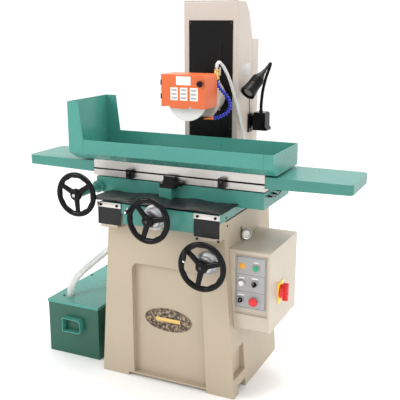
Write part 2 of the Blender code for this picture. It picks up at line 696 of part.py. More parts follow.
def splash_tray():
    """Folded tray round the table with a tall splash guard at its left end."""
    def shell(name, wall, top):
        """The tray's outer or inner form, the inner one smaller by one sheet."""
        ends = [(-0.562 + wall, top), (-0.562 + wall, 1.103), (-0.543 + wall, 1.0695 + wall),
                (0.505 - wall, 1.0695 + wall), (0.502 - wall, 1.103), (0.502 - wall, top)]
        sides = [(-0.193 + wall, top), (-0.193 + wall, 1.103), (-0.147 + wall, 1.0695 + wall),
                 (0.147 - wall, 1.0695 + wall), (0.160 - wall, 1.100), (0.160 - wall, top)]
        form = prism(name, sides, "X", -0.600, 0.600)
        return combine(form, "INTERSECT", [prism(name + "_ends", ends, "Y", -0.300, 0.300)])

    tray = shell("splash_tray", 0.0, TRAY_RIM)
    cut(tray, shell("tray_inside", TRAY_SHEET, TRAY_RIM + 0.020))
    add(tray, box("guard_end", (-0.562, -0.193, 1.110), (-0.559, 0.160, GUARD_TOP)))
    returns = [(-0.562, 1.110), (-0.478, 1.110), (-0.478, TRAY_RIM), (-0.500, GUARD_TOP),
               (-0.562, GUARD_TOP)]
    add(tray, prism("front_return", returns, "Y", -0.193, -0.190))
    add(tray, prism("rear_return", returns, "Y", 0.157, 0.160))
    add(tray, rod("drain_spout", 0.0120, "Y", (-0.450, 0.1585, 1.112), 0.0235))
    add(tray, rod("drain_elbow", 0.0150, "Z", (-0.450, 0.182, 1.085), 0.0430))
    cut(tray, box("platform_opening", (-0.4455, -0.0755, 1.060), (0.4455, 0.0755, 1.080)))
    return paint(tray, GREEN)


def trip_dog(name, left, right):
    """Clamped dog in the table's front T-slot."""
    dog = box(name, (left, -0.175, 0.993), (right, -0.1475, 1.040))
    add(dog, box("dog_stem", (left + 0.006, -0.150, T_SLOT_HEIGHT - 0.0035),
                 (right - 0.006, -0.1390, T_SLOT_HEIGHT + 0.0035)))
    add(dog, box("dog_foot", (left + 0.006, -0.1405, T_SLOT_HEIGHT - 0.0075),
                 (right - 0.006, -0.1355, T_SLOT_HEIGHT + 0.0075)))
    return paint(dog, BLACK)


def table_rack():
    """Rack under the table; it meets the drive pinion."""
    return paint(box("table_rack", (-0.562, 0.016, 0.9480), (-0.240, 0.048, 0.9902)), STEEL)


# ---------------------------------------------------------------- grinding head
def spindle_housing():
    """Head casting: front flange, body, neck through the column slot and carriage."""
    centre = (0.0, 0.0, SPINDLE_HEIGHT)
    profile = [(0.0, 0.2570), (0.0850, 0.2570), (0.0850, 0.1180), (0.1120, 0.1120),
               (0.1200, 0.1060), (0.1200, 0.0840), (0.1150, 0.0784), (0.0, 0.0784)]
    head = turned("spindle_housing", profile, "Y", centre, 24)
    low, high = SPINDLE_HEIGHT - 0.075, SPINDLE_HEIGHT + 0.075
    add(head, box("neck", (-0.055, 0.250, low), (0.055, 0.300, high)))
    add(head, box("carriage", (-0.118, 0.2903, low - 0.045), (0.118, 0.3350, high + 0.045)))
    cut(head, box("flange_flat", (-0.130, 0.070, 1.240), (0.130, 0.1165, 1.281)))
    cut(head, rod("spindle_bore", 0.0215, "Y", (0.0, 0.060, SPINDLE_HEIGHT), 0.300))
    cut(head, rod("bearing_seat", 0.0360, "Y", (0.0, 0.060, SPINDLE_HEIGHT), 0.055))
    cut(head, rod("screw_bore", 0.0113, "Z", (*ELEVATING_SCREW, 1.200), 0.350))
    return paint(head, CREAM)


def slot_cover():
    """Plate on the head that keeps the column slot shut."""
    cover = box("slot_cover", (-0.064, 0.2575, 1.100), (0.064, 0.2600, 1.630))
    cut(cover, box("neck_opening", (-0.0555, 0.250, SPINDLE_HEIGHT - 0.0755),
                   (0.0555, 0.270, SPINDLE_HEIGHT + 0.0755)))
    return paint(cover, BLACK)


GUARD_OUTLINE = [(-0.113, 1.338), (-0.070, 1.341), (-0.060, 1.332), (0.026, 1.331),
                 (0.038, 1.344), (0.050, 1.335), (0.116, 1.333), (0.116, 1.474),
                 (0.112, 1.485), (0.102, 1.490), (-0.113, 1.490)]


def guard_door():
    """Front of the wheel guard with its top and right-hand walls."""
    door = prism("guard_door", GUARD_OUTLINE, "Y", -0.060, 0.0487)
    inside = [(-0.130, 1.300), (0.113, 1.300), (0.113, 1.4735), (0.1100, 1.4825),
              (0.1010, 1.487), (-0.130, 1.487)]
    cut(door, prism("door_inside", inside, "Y", -0.057, 0.060))
    return paint(pivot_at(door, (-0.113, -0.060, 1.410)), ORANGE)


def wheel_guard():
    """Fixed rear of the wheel guard with its left-hand wall."""
    outline = [(-0.113, 1.338), (0.116, 1.333), (0.116, 1.474), (0.112, 1.485), (0.102, 1.490),
               (-0.113, 1.490)]
    guard = prism("wheel_guard", outline, "Y", 0.0490, 0.0780)
    inside = [(-0.110, 1.300), (0.113, 1.300), (0.113, 1.4735), (0.1100, 1.4825),
              (0.1010, 1.487), (-0.110, 1.487)]
    cut(guard, prism("guard_inside", inside, "Y", 0.040, 0.0720))
    add(guard, box("guard_wall", (-0.113, -0.0565, 1.340), (-0.110, 0.0600, 1.4865)))
    cut(guard, rod("spindle_opening", 0.0420, "Y", (0.0, 0.060, SPINDLE_HEIGHT), 0.030))
    return paint(guard, ORANGE)


def guard_knob():
    """Clamping knob of the guard door."""
    profile = [(0.0, 0.0247), (0.0080, 0.0247), (0.0080, 0.0160), (0.0140, 0.0150),
               (0.0140, 0.0020), (0.0120, 0.0), (0.0, 0.0)]
    return paint(turned("guard_knob", profile, "Y", (0.096, -0.0850, 1.451), 20), BLACK)


def spindle_motor():
    """Motor behind the carriage."""
    profile = [(0.0, 0.180), (0.070, 0.180), (0.080, 0.170), (0.080, 0.0), (0.0205, 0.0),
               (0.0205, 0.025), (0.0, 0.025)]
    return paint(turned("spindle_motor", profile, "Y", (0.0, 0.3353, SPINDLE_HEIGHT), 24), GREY)


def spindle_bearing():
    """Front spindle bearing."""
    return paint(ring("spindle_bearing", 0.0350, 0.0206, "Y", (0.0, 0.0920, SPINDLE_HEIGHT),
                      0.0220), STEEL)


def spindle_shaft():
    """Spindle with a nose for the wheel flange."""
    profile = [(0.0, 0.392), (0.0200, 0.392), (0.0200, 0.0500), (0.0095, 0.0480), (0.0095, 0.0),
               (0.0, 0.0)]
    return paint(turned("spindle_shaft", profile, "Y", (0.0, -0.036, SPINDLE_HEIGHT)), STEEL)


def wheel_flange():
    """Hub and nut that clamp the grinding wheel."""
    profile = [(0.0380, 0.0110), (0.0380, -0.0017), (0.0157, -0.0017), (0.0157, -0.0153),
               (0.0300, -0.0153), (0.0280, -0.0270), (0.0150, -0.0290), (0.0098, -0.0290),
               (0.0098, 0.0110)]
    return paint(turned("wheel_flange", profile, "Y", (0.0, 0.0, SPINDLE_HEIGHT), 24), STEEL)


def grinding_wheel():
    """White aluminium-oxide wheel."""
    return paint(ring("grinding_wheel", WHEEL_RADIUS, 0.0160, "Y",
                      (0.0, -0.0150, SPINDLE_HEIGHT), 0.0130, 32), WHITE)


VALVE = (0.109, 0.0905)


def coolant_valve():
    """Brass stop cock behind the guard."""
    profile = [(0.0, 1.5150), (0.0060, 1.5150), (0.0060, 1.5060), (0.0095, 1.5050),
               (0.0095, 1.4650), (0.0070, 1.4590), (0.0, 1.4590)]
    valve = turned("coolant_valve", profile, "Z", (*VALVE, 0.0), 16)
    add(valve, rod("valve_stem", 0.0050, "X", (VALVE[0], VALVE[1], 1.486), 0.0150, 12))
    add(valve, box("valve_bracket", (0.085, 0.0783, 1.470), (0.108, 0.0860, 1.486)))
    return paint(valve, BRASS)


def valve_lever():
    """Quarter-turn lever of the stop cock."""
    x = VALVE[0] + 0.0150 + GAP
    lever = box("valve_lever", (x, VALVE[1] - 0.0050, 1.4800), (x + 0.0040, VALVE[1] + 0.0050, 1.5180))
    return paint(pivot_at(lever, (x, VALVE[1], 1.4860)), STEEL)


def coolant_arm():
    """Segmented coolant hose that keeps the shape it is bent to."""
    route = [(0.109, 0.0905, 1.4584), (0.109, 0.0905, 1.454), (0.109, 0.0905, 1.449),
             (0.126, 0.088, 1.421),
             (0.156, 0.083, 1.394), (0.179, 0.077, 1.368), (0.190, 0.070, 1.340),
             (0.180, 0.062, 1.312), (0.154, 0.054, 1.293), (0.126, 0.0475, 1.2822),
             (0.112, 0.0458, 1.2808)]
    return paint(tube("coolant_arm", smooth_run(route, 3), 0.0085), BLUE)


def coolant_nozzle():
    """Tapered nozzle aimed at the wheel."""
    start = Vector((0.1112, 0.0457, 1.2807))
    tip = Vector((0.065, 0.0401, 1.2761))
    return paint(tube("coolant_nozzle", [start, start.lerp(tip, 0.35), tip], 0.0085, 2,
                      [1.0, 0.85, 0.42]), ORANGE)


def supply_hose():
    """Clear supply hose from the valve, down beside the column and round to the pump."""
    route = [(0.109, 0.0905, 1.5155), (0.109, 0.0905, 1.522), (0.1095, 0.0945, 1.534),
             (0.114, 0.110, 1.541), (0.122, 0.137, 1.520), (0.130, 0.160, 1.490),
             (0.138, 0.186, 1.448), (0.147, 0.213, 1.385), (0.156, 0.240, 1.318),
             (0.161, 0.264, 1.257), (0.166, 0.292, 1.180), (0.172, 0.315, 1.080),
             (0.184, 0.340, 0.980), (0.203, 0.365, 0.880), (0.212, 0.390, 0.780),
             (0.214, 0.440, 0.690), (0.214, 0.512, 0.620), (0.194, 0.576, 0.575),
             (0.130, 0.591, 0.545), (0.020, 0.590, 0.520), (-0.100, 0.589, 0.495),
             (-0.190, 0.574, 0.475), (-0.235, 0.530, 0.455), (-0.290, 0.470, 0.425),
             (-0.350, 0.400, 0.380), (-0.385, 0.330, 0.340), (-0.408, 0.3015, 0.3235),
             (-0.424, 0.300, 0.322), (-0.4345, 0.300, 0.322)]
    return paint(tube("supply_hose", smooth_run(route, 2), 0.0075, 1), WHITE)


# ---------------------------------------------------------------- the machine
base_casting()
front_plaque()
column_casting()
column_rear_cover()
column_way_cover()

electrical_box()
control_panel()
push_button("start_button", BUTTON_GREEN)
push_button("white_button", WHITE)
emergency_stop()
selector("coolant_switch")
selector("mode_selector")
main_disconnect()

coolant_tank()
tank_lid()
tank_handle()
coolant_pump()
drain_hose()

lamp_mount()
lamp_gooseneck()
lamp_head()

saddle()
shaft_tube()
table_stop()
way_flap("way_flap_left", -1)
way_flap("way_flap_right", 1)
way_cover_sheet()

handwheel("cross_feed_handwheel", (CROSS_FEED[0], -0.410, CROSS_FEED[1]), 0.108, 0.0093)
feed_dial("cross_feed_dial", CROSS_FEED[0], CROSS_FEED[1], -0.3384, 0.0093, 0.059)
cross_feed_screw()
cross_feed_crank()
handwheel("table_handwheel", (PINION[0], -0.350, PINION[1]), 0.108, 0.0083)
pinion_shaft()
handwheel("elevating_handwheel", (ELEVATING[0], -0.382, ELEVATING[1]), 0.116, 0.0103)
feed_dial("elevating_dial", ELEVATING[0], ELEVATING[1], -0.3195, 0.0103, 0.055)
elevating_shaft()
elevating_crank()
elevating_screw()

table()
table_wing("table_wing_left", -1)
table_wing("table_wing_right", 1)
splash_tray()
trip_dog("trip_dog_left", -0.251, -0.221)
trip_dog("trip_dog_right", 0.2315, 0.2625)
table_rack()

spindle_housing()
slot_cover()
wheel_guard()
guard_door()
guard_knob()
spindle_motor()
spindle_bearing()
spindle_shaft()
wheel_flange()
grinding_wheel()
coolant_valve()
valve_lever()
coolant_arm()
coolant_nozzle()
supply_hose()
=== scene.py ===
"""Looks for the surface grinder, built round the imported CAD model. Every value is in metres."""
import json
import math

import bmesh
import bpy
from mathutils import Matrix, Vector, noise

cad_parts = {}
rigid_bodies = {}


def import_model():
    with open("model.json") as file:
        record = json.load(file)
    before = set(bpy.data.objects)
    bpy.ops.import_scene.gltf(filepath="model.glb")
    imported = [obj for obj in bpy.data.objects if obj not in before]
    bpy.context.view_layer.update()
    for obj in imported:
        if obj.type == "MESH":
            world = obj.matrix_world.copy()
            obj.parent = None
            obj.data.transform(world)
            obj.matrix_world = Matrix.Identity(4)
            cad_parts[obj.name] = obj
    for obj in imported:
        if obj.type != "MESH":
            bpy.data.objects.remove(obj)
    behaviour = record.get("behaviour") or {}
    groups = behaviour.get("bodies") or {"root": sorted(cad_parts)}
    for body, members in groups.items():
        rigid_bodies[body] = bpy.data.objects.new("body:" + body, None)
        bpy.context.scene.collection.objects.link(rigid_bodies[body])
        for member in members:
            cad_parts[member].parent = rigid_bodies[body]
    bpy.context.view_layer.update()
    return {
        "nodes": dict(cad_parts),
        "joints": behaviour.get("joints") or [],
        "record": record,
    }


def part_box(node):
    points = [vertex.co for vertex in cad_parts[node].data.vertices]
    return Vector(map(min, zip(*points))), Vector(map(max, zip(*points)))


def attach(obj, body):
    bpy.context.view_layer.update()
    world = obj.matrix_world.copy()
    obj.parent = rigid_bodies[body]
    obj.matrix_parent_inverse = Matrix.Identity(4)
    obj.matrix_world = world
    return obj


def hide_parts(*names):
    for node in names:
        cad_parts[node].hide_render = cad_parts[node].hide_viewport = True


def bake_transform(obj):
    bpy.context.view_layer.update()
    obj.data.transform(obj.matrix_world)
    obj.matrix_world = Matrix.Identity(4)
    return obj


for old in list(bpy.data.objects):
    bpy.data.objects.remove(old)

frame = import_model()
nodes = frame["nodes"]


# ---------------------------------------------------------------- camera, floor and light
def look_from(place, yaw, pitch, lens):
    """The camera: yaw turns it from +Y towards -X, pitch tips it down."""
    camera = bpy.data.objects.new("camera", bpy.data.cameras.new("camera"))
    bpy.context.scene.collection.objects.link(camera)
    camera.location = place
    camera.rotation_euler = (math.radians(90.0 - pitch), 0.0, math.radians(yaw))
    camera.data.lens = lens
    camera.data.sensor_width = 36.0
    camera.data.clip_end = 60.0
    bpy.context.scene.camera = camera


def area_light(name, place, target, size, power, colour):
    """A soft box aimed at a point."""
    data = bpy.data.lights.new(name, "AREA")
    data.size = size
    data.energy = power
    data.color = colour
    light = bpy.data.objects.new(name, data)
    bpy.context.scene.collection.objects.link(light)
    light.location = place
    light.rotation_euler = (Vector(target) - Vector(place)).to_track_quat("-Z", "Y").to_euler()


look_from((1.4885, -3.1022, 1.7439), 25.003, 14.354, 63.85)
area_light("key", (-2.6, -3.2, 3.2), (0.0, 0.0, 0.8), 1.6, 70.0, (1.0, 0.99, 0.97))
area_light("fill", (3.8, -1.8, 1.6), (0.0, 0.0, 0.8), 1.4, 18.0, (1.0, 0.98, 0.96))
area_light("top", (0.3, 0.8, 4.4), (0.0, 0.0, 1.0), 2.4, 120.0, (1.0, 1.0, 1.0))

world = bpy.data.worlds.new("studio")
bpy.context.scene.world = world
world.use_nodes = True
world.node_tree.nodes["Background"].inputs["Color"].default_value = (1.0, 1.0, 1.0, 1.0)
world.node_tree.nodes["Background"].inputs["Strength"].default_value = 1.06
bpy.context.scene.view_settings.view_transform = "Standard"


# ---------------------------------------------------------------- materials
class Look:
    """Builds one node material step by step."""

    def __init__(self, name, roughness=0.4, metallic=0.0):
        self.material = bpy.data.materials.new(name)
        self.material.use_nodes = True
        self.tree = self.material.node_tree
        self.shader = self.tree.nodes["Principled BSDF"]
        self.shader.inputs["Roughness"].default_value = roughness
        self.shader.inputs["Metallic"].default_value = metallic
        self.place = self.tree.nodes.new("ShaderNodeTexCoord").outputs["Object"]

    def node(self, kind, **values):
        """A new node with its inputs set by name or number."""
        made = self.tree.nodes.new(kind)
        for key, value in values.items():
            made.inputs[key.replace("_", " ")].default_value = value
        return made

    def link(self, a, b):
        self.tree.links.new(a, b)

    def stretched(self, scale):
        """Object coordinates scaled by a vector."""
        mapping = self.node("ShaderNodeMapping")
        mapping.inputs["Scale"].default_value = scale
        self.link(self.place, mapping.inputs["Vector"])
        return mapping.outputs["Vector"]

    def grain(self, scale, detail=3.0, along=None):
        """A noise value from 0 to 1."""
        made = self.node("ShaderNodeTexNoise", Scale=scale, Detail=detail)
        self.link(self.stretched(along) if along else self.place, made.inputs["Vector"])
        return made.outputs["Fac"]

    def ramp(self, value, stops):
        """Colours at positions along a value."""
        made = self.tree.nodes.new("ShaderNodeValToRGB")
        for _ in range(len(stops) - 2):
            made.color_ramp.elements.new(0.5)
        for element, (position, colour) in zip(made.color_ramp.elements, stops):
            element.position = position
            element.color = (*colour, 1.0)
        self.link(value, made.inputs["Fac"])
        return made.outputs["Color"]

    def colour(self, value, stops):
        self.link(self.ramp(value, stops), self.shader.inputs["Base Color"])
        return self

    def rough(self, value, low, high):
        """Roughness that follows a value."""
        made = self.node("ShaderNodeMapRange", To_Min=low, To_Max=high)
        self.link(value, made.inputs["Value"])
        self.link(made.outputs["Result"], self.shader.inputs["Roughness"])
        return self

    def bump(self, value, strength, distance):
        made = self.node("ShaderNodeBump", Strength=strength, Distance=distance)
        self.link(value, made.inputs["Height"])
        self.link(made.outputs["Normal"], self.shader.inputs["Normal"])
        return self


def shade(colour, factor):
    return tuple(min(1.0, c * factor) for c in colour)


def paint(name, colour, roughness, spread=0.08, skin=0.25, shine=0.5):
    """Sprayed paint: broad colour drift, patchy roughness and an orange-peel skin."""
    look = Look(name)
    broad = look.grain(3.0, 4.0)
    look.colour(broad, [(0.30, shade(colour, 1.0 - spread)), (0.55, colour),
                        (0.80, shade(colour, 1.0 + spread * 0.7))])
    look.rough(look.grain(14.0, 5.0), roughness - 0.06, roughness + 0.10)
    look.bump(look.grain(260.0, 2.0), skin, 0.0004)
    look.shader.inputs["Specular IOR Level"].default_value = shine
    return look.material


def machined(name, colour, roughness, along):
    """Ground or brushed metal with fine marks across one direction."""
    look = Look(name, roughness, 1.0)
    marks = look.grain(60.0, 6.0, along)
    look.colour(marks, [(0.30, shade(colour, 0.88)), (0.70, shade(colour, 1.06))])
    look.rough(marks, roughness - 0.05, roughness + 0.12)
    look.bump(marks, 0.12, 0.0002)
    return look.material


def rubber(name, colour):
    """Matt rubber with dust and a fine woven skin."""
    look = Look(name)
    look.colour(look.grain(9.0, 6.0), [(0.35, colour), (0.75, shade(colour, 2.1))])
    look.rough(look.grain(40.0, 3.0), 0.28, 0.48)
    look.bump(look.grain(700.0, 2.0), 0.30, 0.0003)
    look.shader.inputs["Specular IOR Level"].default_value = 0.25
    return look.material


def badge(name):
    """Cast bronze with dark patina in its hollows."""
    look = Look(name, 0.45, 0.7)
    mottle = look.grain(75.0, 8.0)
    look.colour(mottle, [(0.38, (0.045, 0.035, 0.028)), (0.52, (0.15, 0.115, 0.085)),
                         (0.66, (0.42, 0.32, 0.22))])
    look.rough(mottle, 0.60, 0.32)
    look.bump(mottle, 0.6, 0.0008)
    return look.material


def plastic(name, colour, roughness, grain=500.0, skin=0.12, shine=0.5):
    """Moulded plastic."""
    look = Look(name)
    look.colour(look.grain(25.0, 2.0), [(0.35, shade(colour, 0.93)), (0.70, shade(colour, 1.05))])
    look.rough(look.grain(60.0, 2.0), roughness - 0.04, roughness + 0.08)
    look.bump(look.grain(grain, 2.0), skin, 0.0002)
    look.shader.inputs["Specular IOR Level"].default_value = shine
    return look.material


def abrasive(name):
    """Bonded white grit."""
    look = Look(name)
    grit = look.grain(900.0, 4.0)
    look.colour(grit, [(0.30, (0.62, 0.61, 0.59)), (0.60, (0.86, 0.85, 0.83))])
    look.rough(grit, 0.75, 0.95)
    look.bump(grit, 0.5, 0.0006)
    return look.material


def clear_tube(name, colour, alpha):
    """Milky vinyl hose."""
    look = Look(name)
    look.colour(look.grain(20.0, 2.0), [(0.30, shade(colour, 0.94)), (0.70, colour)])
    look.rough(look.grain(30.0, 2.0), 0.12, 0.25)
    look.shader.inputs["Transmission Weight"].default_value = alpha
    look.shader.inputs["IOR"].default_value = 1.35
    look.shader.inputs["Coat Weight"].default_value = 0.4
    return look.material


GREEN = (0.058, 0.272, 0.226)
CREAM = (0.425, 0.352, 0.258)
PALE_CREAM = (0.520, 0.450, 0.395)
BLACK = (0.006, 0.006, 0.0065)

LOOKS = {
    "cream_casting": paint("cream_casting_paint", CREAM, 0.42, 0.05, 0.45),
    "cream_sheet": paint("cream_sheet_paint", (0.500, 0.435, 0.350), 0.34, 0.04, 0.30),
    "column_cream": paint("column_cream_paint", PALE_CREAM, 0.40, 0.05, 0.35),
    "green_casting": paint("green_casting_paint", shade(GREEN, 0.80), 0.28, 0.07, 0.45),
    "green_sheet": paint("green_sheet_paint", GREEN, 0.26, 0.06, 0.20),
    "dark_green_sheet": paint("dark_green_paint", (0.010, 0.090, 0.058), 0.36, 0.08, 0.30),
    "black_enamel": paint("black_enamel_paint", BLACK, 0.11, 0.15, 0.04, 0.13),
    "black_plastic": plastic("black_plastic", (0.006, 0.006, 0.0065), 0.28, shine=0.16),
    "matt_black": paint("matt_black_paint", (0.006, 0.0055, 0.0055), 0.26, 0.30, 0.25, 0.14),
    "rubber": rubber("sheet_rubber", (0.009, 0.009, 0.0095)),
    "steel": machined("ground_steel", (0.60, 0.575, 0.545), 0.30, (1.0, 12.0, 12.0)),
    "dark_steel": machined("dark_steel", (0.07, 0.068, 0.065), 0.38, (8.0, 8.0, 1.0)),
    "chrome": machined("satin_chrome", (0.50, 0.50, 0.51), 0.34, (1.0, 1.0, 6.0)),
    "bright_chrome": machined("bright_chrome", (0.88, 0.88, 0.89), 0.10, (1.0, 1.0, 6.0)),
    "brass": machined("polished_brass", (0.66, 0.46, 0.17), 0.24, (3.0, 3.0, 3.0)),
    "badge": badge("cast_badge"),
    "orange_guard": paint("orange_paint", (0.66, 0.125, 0.030), 0.32, 0.05, 0.20),
    "orange_plastic": plastic("orange_plastic", (0.85, 0.20, 0.05), 0.30),
    "grey_panel": paint("panel_overlay", (0.375, 0.375, 0.375), 0.38, 0.04, 0.15),
    "motor_grey": paint("motor_paint", (0.30, 0.31, 0.33), 0.45, 0.08, 0.40),
    "abrasive": abrasive("white_abrasive"),
    "clear_hose": clear_tube("clear_vinyl", (0.93, 0.94, 0.93), 0.45),
    "red_plastic": plastic("red_plastic", (0.70, 0.018, 0.020), 0.25),
    "green_plastic": plastic("green_plastic", (0.010, 0.36, 0.15), 0.22),
    "white_plastic": plastic("white_plastic", (0.84, 0.84, 0.82), 0.25),
    "yellow_plastic": plastic("yellow_plastic", (0.90, 0.62, 0.03), 0.30),
    "amber": plastic("amber_print", (0.75, 0.36, 0.04), 0.40),
    "blue_plastic": plastic("blue_plastic", (0.012, 0.028, 0.42), 0.26),
    "label": plastic("blank_label", (0.84, 0.83, 0.80), 0.45),
    "pale_label": plastic("faded_label", (0.56, 0.54, 0.53), 0.45),
    "glass": plastic("lamp_glass", (0.90, 0.90, 0.86), 0.10),
    # Lamp lens in dark grey: painted shade of the lamp's unlit inside seen through the glass.
    "lens_painted_shade": plastic("lamp_lens_painted_shade", (0.16, 0.16, 0.155), 0.08),
}
# Looks of this script alone, each with the material slot that it goes by.
for name, slot_name in (("badge", "brass"), ("column_cream", "cream_casting"),
                        ("matt_black", "black_enamel"), ("bright_chrome", "chrome"),
                        ("dark_steel", "steel"), ("yellow_plastic", "orange_plastic"),
                        ("amber", "orange_plastic"), ("label", "white_plastic"),
                        ("pale_label", "white_plastic"), ("glass", "white_plastic"),
                        ("lens_painted_shade", "white_plastic")):
    LOOKS[name]["stands_for"] = slot_name


# ---------------------------------------------------------------- shape helpers
def finish_piece(name, shape, look, body, angle=35.0):
    """Turns a bmesh into a piece that rides on a body, or on none."""
    bmesh.ops.recalc_face_normals(shape, faces=shape.faces)
    mesh = bpy.data.meshes.new(name)
    shape.to_mesh(mesh)
    shape.free()
    mesh.shade_smooth()
    mesh.set_sharp_from_angle(angle=math.radians(angle))
    made = bpy.data.objects.new(name, mesh)
    bpy.context.scene.collection.objects.link(made)
    mesh.materials.append(LOOKS[look])
    if body:
        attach(made, body)
    return made


def add_block(shape, low, high, bevel=0.001, segments=2):
    """Adds a block with rounded edges to a bmesh."""
    size = [b - a for a, b in zip(low, high)]
    middle = [(a + b) / 2 for a, b in zip(low, high)]
    matrix = Matrix.Translation(middle) @ Matrix.Diagonal((*size, 1.0))
    made = bmesh.ops.create_cube(shape, size=1.0, matrix=matrix)
    if bevel:
        edges = list({e for v in made["verts"] for e in v.link_edges})
        bmesh.ops.bevel(shape, geom=edges, offset=bevel, segments=segments, affect="EDGES",
                        profile=0.5, clamp_overlap=True)
    return shape


def block(name, low, high, look, body, bevel=0.001):
    return finish_piece(name, add_block(bmesh.new(), low, high, bevel), look, body)


AXES = {
    "X": Matrix.Rotation(math.pi / 2, 4, "Y"),
    "Y": Matrix.Rotation(-math.pi / 2, 4, "X"),
    "Z": Matrix.Identity(4),
}


def add_turned(shape, profile, centre, axis="Z", steps=48):
    """Adds a turned form to a bmesh: (radius, distance along the axis) from the centre."""
    turn = axis if isinstance(axis, Matrix) else AXES[axis]
    matrix = Matrix.Translation(Vector(centre)) @ turn
    rings = []
    for radius, along in profile:
        if radius < 1e-6:
            rings.append([shape.verts.new(matrix @ Vector((0.0, 0.0, along)))])
            continue
        ring = []
        for i in range(steps):
            angle = math.tau * i / steps
            place = Vector((radius * math.cos(angle), radius * math.sin(angle), along))
            ring.append(shape.verts.new(matrix @ place))
        rings.append(ring)
    for a, b in zip(rings, rings[1:]):
        for i in range(steps):
            j = (i + 1) % steps
            corners = [a[i % len(a)], a[j % len(a)], b[j % len(b)], b[i % len(b)]]
            unique = list(dict.fromkeys(corners))
            if len(unique) > 2:
                shape.faces.new(unique)
    return shape


def turned(name, profile, centre, look, body, axis="Z", steps=48, angle=35.0):
    return finish_piece(name, add_turned(bmesh.new(), profile, centre, axis, steps), look, body,
                        angle)


def bridge(shape, rings):
    """Joins rings of equally many points with four-sided faces."""
    for a, b in zip(rings, rings[1:]):
        for k in range(len(a)):
            n = (k + 1) % len(a)
            shape.faces.new([a[k], a[n], b[n], b[k]])


def smooth_run(points, steps):
    """Points along a smooth Catmull-Rom curve through the given points."""
    places = [Vector(p) for p in points]
    ends = [places[0] * 2 - places[1]] + places + [places[-1] * 2 - places[-2]]
    run = []
    for before, here, there, after in zip(ends, ends[1:], ends[2:], ends[3:]):
        for step in range(steps):
            t = step / steps
            run.append(
                0.5 * (2 * here + (there - before) * t
                       + (2 * before - 5 * here + 4 * there - after) * t ** 2
                       + (3 * here - before - 3 * there + after) * t ** 3)
            )
    run.append(places[-1])
    return run


def add_tube(shape, run, radius, sides):
    """Adds a tube along points; radius is a number or a function of the share of length."""
    places = [Vector(p) for p in run]
    forward = (places[1] - places[0]).normalized()
    side = forward.orthogonal().normalized()
    rings = []
    for i, place in enumerate(places):
        ahead = (places[min(i + 1, len(places) - 1)] - places[max(i - 1, 0)]).normalized()
        side = (side - ahead * side.dot(ahead)).normalized()
        up = ahead.cross(side)
        size = radius(i / (len(places) - 1)) if callable(radius) else radius
        rings.append([shape.verts.new(place + size * (side * math.cos(math.tau * k / sides)
                                                      + up * math.sin(math.tau * k / sides)))
                      for k in range(sides)])
    bridge(shape, rings)
    shape.faces.new(list(reversed(rings[0])))
    shape.faces.new(rings[-1])
    return shape


def tube(name, run, radius, look, body, sides=16):
    return finish_piece(name, add_tube(bmesh.new(), run, radius, sides), look, body, 50.0)


def add_screw_head(shape, centre, radius, height, axis):
    """Adds a socket screw head that stands along an axis."""
    profile = [(0.0, height * 0.45), (radius * 0.45, height * 0.45), (radius * 0.50, height),
               (radius * 0.88, height), (radius, height * 0.82), (radius, -0.0005),
               (0.0, -0.0005)]
    return add_turned(shape, profile, centre, axis, 20)


def facing(axis, sign):
    """A turn that points a form's own axis along plus or minus X, Y or Z."""
    target = Vector([sign if letter == axis else 0.0 for letter in "XYZ"])
    return target.to_track_quat("Z", "Y").to_matrix().to_4x4()


def screws(name, places, radius, height, toward, look, body):
    """A set of screw heads as one piece; toward is a turn from facing."""
    shape = bmesh.new()
    for place in places:
        add_screw_head(shape, place, radius, height, toward)
    return finish_piece(name, shape, look, body)


def middle(node):
    low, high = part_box(node)
    return (low + high) / 2


def joint_place(name):
    """The point that a joint turns about."""
    return next(Vector(joint["pos_m"]) for joint in frame["joints"] if joint["name"] == name)


# ---------------------------------------------------------------- CAD nodes that stay
def clean_group():
    """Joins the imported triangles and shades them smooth, without moving a point."""
    group = bpy.data.node_groups.new("clean_surface", "GeometryNodeTree")
    group.interface.new_socket("Geometry", in_out="INPUT", socket_type="NodeSocketGeometry")
    group.interface.new_socket("Geometry", in_out="OUTPUT", socket_type="NodeSocketGeometry")
    start = group.nodes.new("NodeGroupInput")
    end = group.nodes.new("NodeGroupOutput")
    strip = group.nodes.new("GeometryNodeRemoveAttribute")
    strip.inputs["Name"].default_value = "custom_normal"
    merge = group.nodes.new("GeometryNodeMergeByDistance")
    merge.inputs["Distance"].default_value = 0.00002
    smooth = group.nodes.new("GeometryNodeSetShadeSmooth")
    smooth.inputs["Shade Smooth"].default_value = True
    chain = [start, strip, merge, smooth, end]
    for a, b in zip(chain, chain[1:]):
        group.links.new(a.outputs["Geometry"], b.inputs["Geometry"])
    return group


CLEAN = clean_group()


def dress(node, width, look=None):
    """Rounds a CAD node's edges and gives it its finish."""
    made = nodes[node]
    clean = made.modifiers.new("clean", "NODES")
    clean.node_group = CLEAN
    rounding = made.modifiers.new("rounding", "BEVEL")
    rounding.width = width
    rounding.segments = 3
    rounding.limit_method = "ANGLE"
    rounding.angle_limit = math.radians(32.0)
    rounding.use_clamp_overlap = True
    rounding.miter_outer = "MITER_ARC"
    normals = made.modifiers.new("normals", "WEIGHTED_NORMAL")
    normals.weight = 50
    slots = {s["node"]: s["material_slot"] for s in frame["record"]["subparts"]}
    made.data.materials.clear()
    made.data.materials.append(LOOKS[look or slots[node]])


